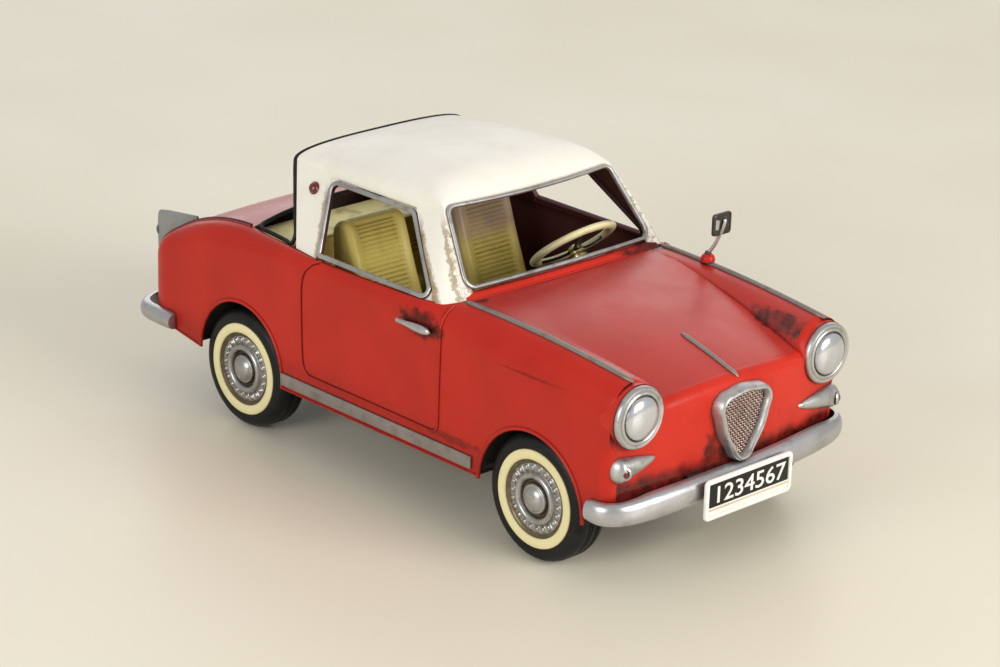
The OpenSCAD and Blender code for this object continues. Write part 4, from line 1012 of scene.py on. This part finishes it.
R = LAMP_R * 0.97
rim = [(4.3, 0.2), (0.3, 0.2), (0, 1.2), (0, 2.4), (0.3, 3.1), (0.8, 3.5), (1.3, 3.5), (1.6, 3.3), (1.85, 3.3),
       (2.2, 3.65), (2.6, 3.85), (3.0, 3.8), (3.4, 3.4), (3.7, 3.0), (4.0, 2.7), (4.3, 2.6)]
rim = facing(turned([(R - inset, h) for inset, h in rim], 120), LAMP_X, LAMP_Y, LAMP_Z)
both("headlamp_rim", "silver_paint", [(0, rim)], [silver])
lens = [(R - 3.75, 1.6), (R - 3.75, 2.9)]
lens += [((R - 3.8) * math.cos(a), 3.0 + 3.4 * math.sin(a)) for a in np.linspace(0.05, math.pi / 2, 20)] + [(0, 1.6)]
lens = facing(turned(lens, 96), LAMP_X, LAMP_Y, LAMP_Z)
piece("headlamp_lenses", pair(lens), [pearl])

SIGNAL_Z = 50.0


def leaf(tip, end):
    """Leaf-shaped lamp body on the nose, from its pointed tip out to its round end."""
    rings = []
    for t in 1 - (1 - np.linspace(0, 1, 44)) ** 1.7:
        y = mix(tip, end, t)
        swell = 0.1 + 0.9 * (t / 0.84) ** 0.7 if t < 0.84 else math.sqrt(max(0.004, 1 - ((t - 0.84) / 0.162) ** 2))
        back = float(nose_plan(y)) - 0.25
        level = SIGNAL_Z + 2.2 * (1 - t)
        rings.append([(back + 4.9 * swell * max(0.0, math.cos(b)) ** 0.9, y, level + 5.1 * swell * math.sin(b))
                      for b in np.linspace(-math.pi / 2, math.pi / 2, 19)])
    return loft(rings)


signal_lens = [(0, 0.0), (1.75, 0.0), (1.8, 0.8), (1.7, 1.05)]
signal_lens += [(1.6 * math.cos(a), 1.0 + 0.8 * math.sin(a)) for a in np.linspace(0.15, math.pi / 2, 9)]
collar = turned([(1.6, 0.2), (3.3, 0.0), (3.1, 0.5), (2.7, 0.95), (2.3, 1.2), (2.0, 1.15), (1.75, 0.8)], 40)
signal_glass = []
for side, tip, end in (("left", 38.6, HALF_W - 0.6), ("right", 43.4, HALF_W - 2.6)):
    at = (float(nose_plan(LAMP_Y)) + 1.9, end - 3.6, SIGNAL_Z)
    parts = [(0, leaf(tip, end)), (0, facing(collar, *at, 40))]
    glass = facing(turned(signal_lens, 40), *at, 40)
    if side == "right":
        parts, glass = [(m, mirrored(p)) for m, p in parts], mirrored(glass)
    piece(f"signal_housing_{side}", parts, [silver])
    signal_glass.append((0, glass))
piece("signal_lenses", signal_glass, [red_glass])

# ------------------------------------------------------------------ grille

corners = rounded([(0, 34.6), (17.9, 70.8), (-17.9, 70.8)], 5.4, 12)


def bulged(outline, by):
    """Outline with its three sides bowed outwards."""
    q = even(outline, 0.9)
    d = q - corners.mean(0)
    a = np.arctan2(d[:, 1], d[:, 0])
    return q + unit(d) * by * (0.5 - 0.5 * np.cos(3 * (a + math.pi / 2)))[:, None]


pick = bulged(corners, 1.5)
grille_x = NOSE_X - 0.4
ring_section = [(-0.5, 0), (2.3, 0), (2.35, 3.2), (2.0, 4.9), (1.5, 5.5), (0.9, 5.6), (0.4, 5.3), (0.0, 4.5),
                (-0.4, 2.0)]


def on_nose(part, x=0.0):
    return placed(part, (grille_x + x, 0, 0), x=LEFT, z=AHEAD)


piece("grille_surround", [(0, on_nose(ring_of(pick, ring_section)))], [silver])
inner_pick = pick + inward(pick) * 2.0


def span(axis, at):
    """Where the line with coordinate axis equal to at crosses the inner outline."""
    hits = []
    for k in range(len(inner_pick)):
        p, q = inner_pick[k - 1], inner_pick[k]
        if (p[axis] - at) * (q[axis] - at) < 0:
            hits.append(p[1 - axis] + (q[1 - axis] - p[1 - axis]) * (at - p[axis]) / (q[axis] - p[axis]))
    return (min(hits), max(hits)) if len(hits) > 1 else None


PITCH, WIRE = 1.05, 0.25
wires = []
for axis in (0, 1):
    low, high = inner_pick[:, axis].min(), inner_pick[:, axis].max()
    for k in range(int(low / PITCH), int(high / PITCH) + 1):
        ends = span(axis, k * PITCH)
        if ends is None or ends[1] - ends[0] < 2:
            continue
        along = np.arange(ends[0], ends[1], PITCH / 4)
        wave = 0.22 * np.cos(math.pi * (along / PITCH + k + axis))
        path = np.zeros((len(along), 3))
        path[:, axis], path[:, 1 - axis], path[:, 2] = k * PITCH, along, 2.0 + wave
        wires.append((0, on_nose(tube(path, WIRE, 6))))
wires.append((1, on_nose(plate(inner_pick, 0.6, 1.3, 0.1))))
piece("grille_mesh", wires, [copper, maroon], angle=60)

# ------------------------------------------------------------------ bumpers and number plate


def bumper(line, height, depth, end_depth, middle):
    """Half-round bar along its back line, seen from above."""
    p = resample(np.asarray(line, float), 1.4)
    t = tangents(p)
    rings = []
    for k in range(len(p)):
        far = float(ease((abs(p[k][1]) - 44) / 22))
        out = np.array([t[k][1], -t[k][0]])
        d, h = float(mix(depth, end_depth, far)), float(mix(height, height - 2, far)) / 2
        end = min(k, len(p) - 1 - k)
        h *= 1 - 0.12 * max(0, 2 - end) / 2
        arc = [(d * math.cos(b) ** 0.8, h * math.sin(b)) for b in np.linspace(-math.pi / 2, math.pi / 2, 17)]
        arc[0], arc[-1] = (-0.2, -h), (-0.2, h)
        rings.append([(p[k][0] + out[0] * u, p[k][1] + out[1] * u, middle(p[k][1]) + w) for u, w in arc])
    return loft(rings)


def bumper_line(face_x, bow, corner_at, end, square):
    y = np.linspace(-corner_at[1], corner_at[1], 41)
    middle = np.column_stack([face_x - bow * y * y, y])
    a = np.linspace(0, math.pi / 2, 26)[1:]
    turn = np.column_stack([corner_at[0] + (middle[0][0] - corner_at[0]) * np.cos(a) ** square,
                            corner_at[1] + (end[1] - 0.1 - corner_at[1]) * np.sin(a) ** square])
    half = np.vstack([turn, [end]])
    return np.vstack([half[::-1] * (1, -1), middle, half])


front_line = bumper_line(148.2, 0.0009, (136, 50), (132.5, HALF_W + 0.5), 0.8)
rear_line = bumper_line(151, 0.0003, (136, 50), (124, HALF_W + 0.4), 0.7)
front_bar = bumper(front_line, 11.5, 4.6, 3.2, lambda y: 35.4 + 0.03 * y)
rear_bar = bumper(rear_line, 10, 5, 4.0, lambda y: 35.5)
piece("front_bumper", [(0, front_bar)], [bumper_mat], angle=50)
piece("rear_bumper", [(0, (rear_bar[0] * (-1, 1, 1), rear_bar[1]))], [bumper_mat], angle=50)

plate_low, plate_high = box("number_plate")
PLATE_X, PLATE_Z = plate_low[0], (plate_low[2] + plate_high[2]) / 2
PLATE_W, PLATE_H, PLATE_Y = 50.0, 17.2, -1.2


def on_plate(part, x=0.0):
    return placed(part, (PLATE_X + x, PLATE_Y, PLATE_Z + 0.3), x=LEFT, z=AHEAD)


def rectangle(w, h, r, dz=0.0):
    low, high = dz - h / 2, dz + h / 2
    return rounded([(-w / 2, low), (w / 2, low), (w / 2, high), (-w / 2, high)], r, 6)


plate_rim = [(0.1, 0.8), (1.9, 0.8), (1.8, 1.35), (1.4, 1.5), (0.6, 1.5), (0.15, 1.3)]
plate_parts = [(0, on_plate(plate(rectangle(PLATE_W, PLATE_H, 2.2), 0, 1.05, 0.3))),
               (0, on_plate(ring_of(rectangle(PLATE_W, PLATE_H, 2.2), plate_rim))),
               (1, on_plate(plate(rectangle(PLATE_W - 4.4, 9.8, 0.5, 1.6), 0.9, 1.2, 0.1))),
               (2, on_plate(plate(rectangle(PLATE_W - 4.4, 0.8, 0.3, -4.4), 0.9, 1.15, 0.1)))]
font = bpy.data.curves.new("plate_number", "FONT")
font.body, font.size, font.extrude, font.offset = "1234567", 9.4 * MM, 0.12 * MM, 0.06 * MM
font.align_x, font.align_y, font.space_character, font.resolution_u = "CENTER", "CENTER", 0.98, 3
holder = bpy.data.objects.new("plate_number", font)
bpy.context.scene.collection.objects.link(holder)
bpy.context.view_layer.update()
glyphs = bpy.data.meshes.new_from_object(holder.evaluated_get(bpy.context.evaluated_depsgraph_get()))
number = (np.array([v.co for v in glyphs.vertices]) / MM, [tuple(p.vertices) for p in glyphs.polygons])
bpy.data.objects.remove(holder)
width, tall, _ = np.ptp(number[0], axis=0)
number = (number[0] * (39.5 / width, 7.1 / tall, 1), number[1])
number[0][:, 1] += 1.6 - (number[0][:, 1].max() + number[0][:, 1].min()) / 2
plate_parts.append((0, on_plate(number, 1.28)))
piece("number_plate", plate_parts, [white_paint, black_paint, tan_paint])

# ------------------------------------------------------------------ pillar lamps, fins and tail lamps


def dome(r, rim_h, dome_h):
    cap = [(r * 0.92 * math.cos(a), rim_h + dome_h * math.sin(a)) for a in np.linspace(0.1, math.pi / 2, 10)]
    return turned([(0, -0.3), (r + 0.25, -0.3), (r + 0.25, rim_h * 0.7), (r, rim_h), *cap], 40)


spot = mix((-52.5, 60.2, 89), (-52.5, 47.7, 119), 0.78) + (3, 0.5, 0.15)
spot_out = np.array([0, math.sin(math.radians(67)), math.cos(math.radians(67))])
lamp = placed(dome(2.45, 0.5, 1.6), spot, z=spot_out)
piece("pillar_lamps", pair(lamp), [red_glass])

FIN_Y, FIN_LAMP_Z, FIN_LEAN = 53.0, 68.5, math.radians(7.6)
fin_x = np.concatenate([np.linspace(-125.5, -143.4, 22), np.linspace(-144.4, -149.6, 8)])
fin = []
for x in fin_x:
    if x >= -143.4:
        low, high, back = float(ridge_z(x)) + 0.2, 81 + (77.4 - 81) * (-124 - x) / 28, x
    else:
        s = (x + 143.4) / (-149.6 + 143.4)
        low, high, back = 58.4 - 2.4 * s, float(mix(78.5, 77.2, s)), float(mix(-144.6, -151.6, s))
    w = float(mix(0.6, 3.3, (-124 - x) / 26))
    ring = []
    for c, s in oval(1, 1, 20, 0.55):
        t = (1 + s) / 2
        ring.append((float(mix(x, back, t)), FIN_Y + w * c * (1 - 0.35 * t), float(mix(low, high, t))))
    fin.append(ring)


def on_fin(part, x):
    return placed(part, (x, FIN_Y, FIN_LAMP_Z), x=LEFT, z=(-math.cos(FIN_LEAN), 0, -math.sin(FIN_LEAN)))


lamp_rim = on_fin(turned([(2.5, -0.4), (3.25, -0.4), (3.2, 0.3), (2.9, 0.5), (2.6, 0.3)], 40), -150.85)
both("tail_fin", "silver_paint", [(0, loft(fin)), (0, lamp_rim)], [fin_grey], angle=50)
piece("tail_lamp_lenses", pair(on_fin(dome(2.3, 0.5, 1.2), -151.0)), [red_glass])

# ------------------------------------------------------------------ seats, shelf and dashboard


def shares(profile):
    """Share of a closed profile's length at which each of its points lies."""
    p = np.array(profile)
    along = np.cumsum(np.linalg.norm(np.diff(np.vstack([p, p[:1]]), axis=0), axis=1))
    return np.concatenate([[0], along]) / along[-1]


def pleated(profile, y_mid, width, bolster, runs, pitch=1.95, depth=0.6, edge=2.6, step=0.33):
    """Formed seat: a side profile (x, z) carried across, round at both ends, with pleats across the runs between
    its bolsters. runs are (start, end) shares of the profile's length."""
    q = spline(profile, step, True)
    n = inward(q)
    length = len(q) * step
    s = np.arange(len(q)) / len(q)
    cut = np.zeros(len(q))
    for a, b in runs:
        phase = (s - a) * length / pitch
        fade = np.clip(np.minimum(s - a, b - s) * length / 1.5, 0, 1)
        pleat = depth * (1 - np.abs(np.sin(math.pi * phase)) ** 0.7) + 0.9
        cut = np.where((s > a) & (s < b), pleat * fade, cut)
    half = width / 2
    t = np.linspace(0, math.pi / 2, 6)
    ends = [(half - edge * (1 - math.sin(a)), edge * (1 - math.cos(a))) for a in t]
    inner = half - bolster
    across = [(inner - 0.9, 1.0), (inner - 0.3, 0.75), (inner + 0.3, 0.2), (inner + 0.8, 0.0), (half - edge - 0.6, 0.0)]
    right = [(v, 0.0, w) for v, w in across] + [(v, w, 0.0) for v, w in ends]
    flat = [(v, 0.0, 1.0) for v in np.linspace(-inner + 1.6, inner - 1.6, 7)]
    crown = through((0, 0.9), (bolster * 0.45, 0.0), (bolster, 0.75))
    rings = []
    for v, pull, pleat in [(-v, p, w) for v, p, w in right[::-1]] + flat + right:
        soft = float(crown(np.clip(half - abs(v), 0, bolster))) * 0.5 if abs(v) > inner else 0.0
        d = pull + pleat * cut + soft * (cut.max() > 0)
        rings.append(np.column_stack([q[:, 0] + n[:, 0] * d, np.full(len(q), y_mid + v), q[:, 1] + n[:, 1] * d]))
    return loft(rings)


FLOOR_Z = box("floor_pan")[0][2] + 1.3
SEAT_Y, SEAT_W = 30.0, 33.0
seat_side = [(-34, FLOOR_Z), (6, FLOOR_Z), (8.6, FLOOR_Z + 2), (9.4, 44), (9.9, 54), (8.2, 58.6), (4, 60.4),
             (-3, 60.6), (-10, 59.2), (-15.5, 58.9), (-19, 62.4), (-22.5, 70), (-27, 81), (-31, 92), (-33.6, 97.4),
             (-37.8, 99.6), (-42.2, 97.8), (-44.2, 92), (-42, 72), (-38.6, 52), (-36.2, FLOOR_Z + 3)]
share = shares(seat_side)
seat = pleated(seat_side, SEAT_Y, SEAT_W, 5.8, [(share[4] + 0.012, share[8]), (share[10], share[14] + 0.006)])
# The left seat takes the finish with painted shade on its upper part.
piece("seat_left", [(0, seat)], [seat_shaded], angle=60)
piece("seat_right", [(0, mirrored(seat))], [seat_mat], angle=60)
bench_side = [(-60, 35.5), (-54, 35.5), (-52.6, 38), (-52.8, 52), (-53.6, 57), (-57, 58.4), (-64, 57.4), (-69.4, 57.2),
              (-71.6, 60), (-75, 70), (-78.4, 80), (-80.4, 82.6), (-83.4, 82.8), (-85.4, 80.6), (-84.6, 58),
              (-83.4, 38), (-81, 35.6)]
share = shares(bench_side)
bench = pleated(bench_side, 0, 86, 6, [(share[4] + 0.01, share[7]), (share[8], share[10])])
piece("rear_bench", [(0, bench)], [seat_mat], angle=60)
shelf = plate(rounded([(-86.4, -53.8), (-60.6, -53.8), (-60.6, 53.8), (-86.4, 53.8)], 2.5, 5), 83.95, 85.15, 0.35)
shelf_edge = tube([(-60.9, y, 84.7) for y in np.linspace(-53, 53, 40)], 0.75)
piece("parcel_shelf", [(0, shelf), (0, shelf_edge)], [shelf_mat])

dash_side = [(38.2, 82.2), (37.8, 72.2), (35.1, 73.2), (33.7, 82), (36.3, 87), (43.8, 87.8), (43.8, 84.2)]
dash_side = rounded(dash_side, [0.3, 0.4, 1.4, 1.6, 0.6, 0.5, 0.3], 5)
after = np.roll(dash_side, -1, 0)
if ((after[:, 0] - dash_side[:, 0]) * (after[:, 1] + dash_side[:, 1])).sum() > 0:
    dash_side = dash_side[::-1]
dash = loft([[(x, y, z) for x, z in dash_side] for y in np.linspace(-54.8, 54.8, 25)])
gauge = turned([(0, -1.2), (4.2, -1.2), (4.2, 0.7), (3.7, 0.95), (3.3, 0.5), (0, 0.4)], 48)
knob = turned([(0, 0), (1.5, 0), (1.5, 1.6), (1.1, 2.1), (0, 2.2)], 24)
DASH_WAY = (-1, 0, -0.16)
gauges = [(1, placed(gauge, (34.35, y, 78.2), x=LEFT, z=DASH_WAY)) for y in (21.5, 38.5)]
knobs = [(2, placed(knob, (34.6, y, 76.5), x=LEFT, z=DASH_WAY)) for y in (2, -8, -18)]
piece("dashboard", [(0, dash), *gauges, *knobs], [red, silver, ring_cream])

# ------------------------------------------------------------------ steering wheel

steer = JOINTS["steering_turn"]
steer_at, steer_axis = np.array(steer["pos_m"]) / MM, unit(steer["axis"])
RING_UP, RING_R = 6.0, 17.5


def on_column(part, up=0.0):
    return placed(part, steer_at + steer_axis * up, z=steer_axis)


a = np.linspace(0, 2 * math.pi, 12, endpoint=False)
ring = on_column(turned([(RING_R + 2.55 * math.cos(x), 1.55 * math.sin(x)) for x in a], 120), RING_UP)
boss = [(0, -2.4), (4.1, -2.4), (4.2, -1.9), (3.2, -1.4), (3.2, -1.0), (3.9, -0.5), (3.9, 0.2), (3.0, 0.7), (3.0, 1.1),
        (3.7, 1.6), (3.7, 2.3), (2.8, 2.8), (2.8, 3.2), (3.3, 3.7), (3.2, 4.6), (2.2, 5.3), (1.1, 5.5), (0, 5.55)]
spokes = []
for k in range(3):
    t = math.radians(90 + 120 * k)
    out = np.array([math.cos(t), math.sin(t), 0])
    path = [out * r + (0, 0, z) for r, z in ((1.8, 3.4), (5, 3.4), (10, 4.0), (14.5, 5.1), (17.4, 5.9))]
    spokes.append((1, on_column(strip(spline(path, 0.8), oval(1.7, 0.6, 12), UP))))
piece("steering_wheel", [(0, ring), (2, on_column(turned(boss, 48))), *spokes],
      [ring_cream, bronze, brass], body="steering")

# ------------------------------------------------------------------ mirror

swivel = np.array(JOINTS["mirror_swivel"]["pos_m"]) / MM
foot_z = box("mirror_base")[0][2]
base_profile = [(0.95, 0.0), (3.1, 0.0), (3.1, 0.6), (2.9, 1.5), (2.5, 2.3), (1.8, 2.9), (1.3, 3.1), (0.95, 3.1)]
piece("mirror_base", [(0, placed(turned(base_profile, 40), (swivel[0], swivel[1], foot_z)))], [red])
stem_low = np.array([swivel[0], swivel[1], foot_z + 3.4])
face_at = np.array([swivel[0] + 3.5, swivel[1] + 3.2, foot_z + 3.4 + 9.5 + 3.4])
hold = face_at + (1.35, 0.6, 0.9)
bend = spline([stem_low - (0, 0, 2.8), stem_low + (0, 0, 0.2), stem_low + (0.9, 0.6, 1.3),
               mix(stem_low, hold, 0.35) + (0.9, 0.3, 0), mix(stem_low, hold, 0.75) + (0.6, 0.1, 0), hold,
               hold + (-0.2, 0.2, 0.9)], 0.6)
stem = tube(bend, 0.8, 12)
collar = placed(turned([(0, -0.5), (1.35, -0.5), (1.45, 0.0), (1.2, 0.6), (0.8, 0.9), (0, 0.9)], 24), stem_low)
glass_shape = rounded([(-5.4, -4.75), (5.4, -4.75), (5.4, 4.75), (-5.4, 4.75)], 1.5, 8)
lip = ring_of(glass_shape, [(0.0, 0.2), (1.0, 0.2), (0.9, 0.75), (0.5, 0.9), (0.1, 0.7)])
# A bright silver patch on the front of the dark mirror back.
bright_patch = plate(rounded([(-4.2, -1.9), (-2.1, -2.4), (-1.8, 1.9), (-4.1, 2.5)], 0.6, 5), 0.45, 0.8, 0.12)
back_plate = plate(glass_shape, -0.6, 0.6, 0.4)
head = [(m, placed(p, face_at, x=LEFT, z=AHEAD)) for m, p in ((1, back_plate), (1, lip), (2, bright_patch))]
glass = placed(plate(glass_shape * 0.82, 0.5, 0.72, 0.1), face_at, x=(0, -1, 0), z=(-1, 0, 0))
piece("mirror_arm", [(0, stem), (1, collar), *head, (2, glass)], [bright, bronze, bright],
      body="mirror")

# ------------------------------------------------------------------ wheels

DISC_R, WHITE_R = 16.1, 20.3
tyre = [(DISC_R, -0.7), (WHITE_R, -0.55), (WHITE_R + 0.25, -0.05), (21.2, 0.0), (22.6, -0.05), (24.0, -0.5),
        (25.1, -1.4), (25.8, -2.6), (TYRE_R - 0.12, -3.6), (TYRE_R, -4.4)]
for at in (-5.9, -TYRE_W / 2 + 1.3 - 0.9, -TYRE_W / 2 - 1.3 - 0.9, -TYRE_W + 4.4):
    tyre += [(TYRE_R, at + 0.35), (TYRE_R - 0.45, at + 0.2), (TYRE_R - 0.45, at - 0.2), (TYRE_R, at - 0.35)]
tyre += [(TYRE_R, -TYRE_W + 3.9), (25.8, -TYRE_W + 2.2), (24.6, -TYRE_W + 0.8), (22.5, -TYRE_W), (DISC_R, -TYRE_W)]
white_band = [(DISC_R + 0.05, -0.65), (DISC_R + 0.1, -0.1), (DISC_R + 0.7, 0.22), (DISC_R + 2.1, 0.36),
              (WHITE_R - 0.8, 0.25), (WHITE_R - 0.15, 0.02), (WHITE_R, -0.3), (WHITE_R, -0.65)]
BUMPS = 22


def bumps(r, h, t):
    """Ring of radial bumps pressed between the flange and the smooth ring of the disc."""
    band = np.clip(1 - np.abs(r - 12.65) / 1.7, 0, 1)
    lift = ease(0.5 + 0.62 * np.cos(BUMPS * t))
    return r, h + (h > -2.9) * ease(band * 1.3) * 1.0 * lift


disc_front = [(0, 1.95), (1.1, 1.9), (2.4, 1.65), (3.6, 1.2), (4.5, 0.65), (4.95, 0.15), (5.2, -0.1), (5.6, -0.02),
              (6.0, -0.2), (6.2, -0.6), (6.35, -1.4), (6.7, -2.0), (7.3, -2.1), (7.7, -1.7), (8.0, -0.8), (8.5, 0.05),
              (9.2, 0.5), (9.9, 0.42), (10.5, -0.05), (10.85, -0.7), (11.05, -1.1)]
disc_front += [(r, -1.2) for r in np.arange(11.2, 14.2, 0.3)]
disc_front += [(14.3, -1.3), (14.9, -1.15), (15.5, -0.8), (15.9, -0.5), (DISC_R, -0.6)]
disc_back = [(DISC_R, -11.9), (DISC_R - 0.9, -11.9), (DISC_R - 0.9, -3.0), (9.4, -3.6), (5, -3.6), (4, -8.9),
             (2.02, -8.9), (2.02, -2.2), (0, -2.2)]


def wheel_parts(x, s):
    def at(part):
        return placed(part, (x, s * TYRE_Y, AXLE_Z), z=(0, s, 0))

    disc_pts, disc_faces = turned(disc_front + disc_back, 12 * BUMPS, bumps, wrap=False)
    mean_r = [sum(math.hypot(*disc_pts[i][:2]) for i in f) / len(f) for f in disc_faces]
    # Material 1, dark brown, goes on the outer flange and on the recess ring between 6.4 and 7.6 mm, where it is
    # painted shade in the recess.
    flange = [1 if r > 14.2 or 6.4 < r < 7.6 else 0 for r in mean_r]
    return at(turned(tyre, 144)), at(turned(white_band, 144)), at((disc_pts, disc_faces, flange))


for end, x in (("front", FRONT_X), ("rear", REAR_X)):
    body, bands = f"{end}_wheelset", []
    for side, s in (("left", 1), ("right", -1)):
        rubber_ring, band, disc = wheel_parts(x, s)
        piece(f"{end}_tyre_{side}", [(0, rubber_ring)], [tyre_mat], body, angle=50)
        piece(f"{end}_wheel_disc_{side}", [(0, disc)], [disc_silver, disc_brown], body, angle=80)
        bands.append((0, band))
    piece(f"{end}_whitewalls", bands, [whitewall_mat], body, angle=60)

# ------------------------------------------------------------------ CAD nodes that stay, with their finishes

for finish, nodes in ((dark_steel, ("floor_pan", "wheel_wells", "bumper_brackets", "steering_column")),
                      (steel, ("axle_brackets", "chassis_screws", "front_axle", "rear_axle"))):
    for node in nodes:
        mesh = frame["nodes"][node].data
        mesh.materials.clear()
        mesh.materials.append(finish)

# ------------------------------------------------------------------ floor, light and camera

ground = bpy.data.meshes.new("ground")
REACH, GROUND_Z = 6.0, -0.00015
ground.from_pydata([(x * REACH, y * REACH, GROUND_Z) for x, y in ((-1, -1), (1, -1), (1, 1), (-1, 1))], [],
                   [(0, 1, 2, 3)])
floor = bpy.data.objects.new("ground", ground)
bpy.context.scene.collection.objects.link(floor)
n = Nodes("ground")
n.link(n.blend(n.ramp(n.noise(420, 1.0, 0.3), 0.35, 0.65), (0.77, 0.71, 0.56), (0.81, 0.755, 0.615)),
       n.shader.inputs["Base Color"])
n.link(n.ramp(n.noise(90, 1.0, 0.3), 0.3, 0.7, 0.36, 0.42), n.shader.inputs["Roughness"])
n.shader.inputs["Specular IOR Level"].default_value = 0.33
ground.materials.append(n.mat)

world = bpy.data.worlds.new("studio")
bpy.context.scene.world = world
world.use_nodes = True
world.node_tree.nodes["Background"].inputs["Color"].default_value = (1.0, 0.985, 0.955, 1)
world.node_tree.nodes["Background"].inputs["Strength"].default_value = 0.5


def light(name, at, size, power, tint=(1, 1, 1), aim=(0, 0, 0.05)):
    lamp = bpy.data.lights.new(name, "AREA")
    lamp.shape, lamp.energy, lamp.color = "RECTANGLE", power, tint
    lamp.size, lamp.size_y = size
    obj = bpy.data.objects.new(name, lamp)
    bpy.context.scene.collection.objects.link(obj)
    obj.location = at
    obj.visible_camera = False
    obj.rotation_mode = "QUATERNION"
    obj.rotation_quaternion = (Vector(aim) - Vector(at)).to_track_quat("-Z", "Y")


light("key", (1.35, 0.25, 0.62), (0.7, 0.6), 15, (1.0, 0.985, 0.96))
light("window", (0.15, -1.35, 0.55), (0.8, 0.6), 8.5, (0.97, 0.985, 1.0))
light("wall", (-1.45, 1.4, 0.85), (2.6, 1.3), 11)

camera = bpy.data.cameras.new("camera")
camera.lens, camera.sensor_width, camera.clip_start, camera.clip_end = 109.75, 36.0, 0.05, 50.0
eye = bpy.data.objects.new("camera", camera)
bpy.context.scene.collection.objects.link(eye)
azimuth, elevation, tilt = (math.radians(v) for v in (46.01, 20.62, 1.73))
back = Vector((math.sin(azimuth) * math.cos(elevation), -math.cos(azimuth) * math.cos(elevation), math.sin(elevation)))
right = (-back).cross(Vector((0, 0, 1))).normalized()
up = right.cross(-back)
side, top = right * math.cos(tilt) + up * math.sin(tilt), up * math.cos(tilt) - right * math.sin(tilt)
eye.matrix_world = Matrix.Translation((0.8747, -0.8332, 0.505)) @ Matrix((side, top, back)).transposed().to_4x4()
bpy.context.scene.camera = eye
bpy.context.scene.view_settings.view_transform = "Standard"
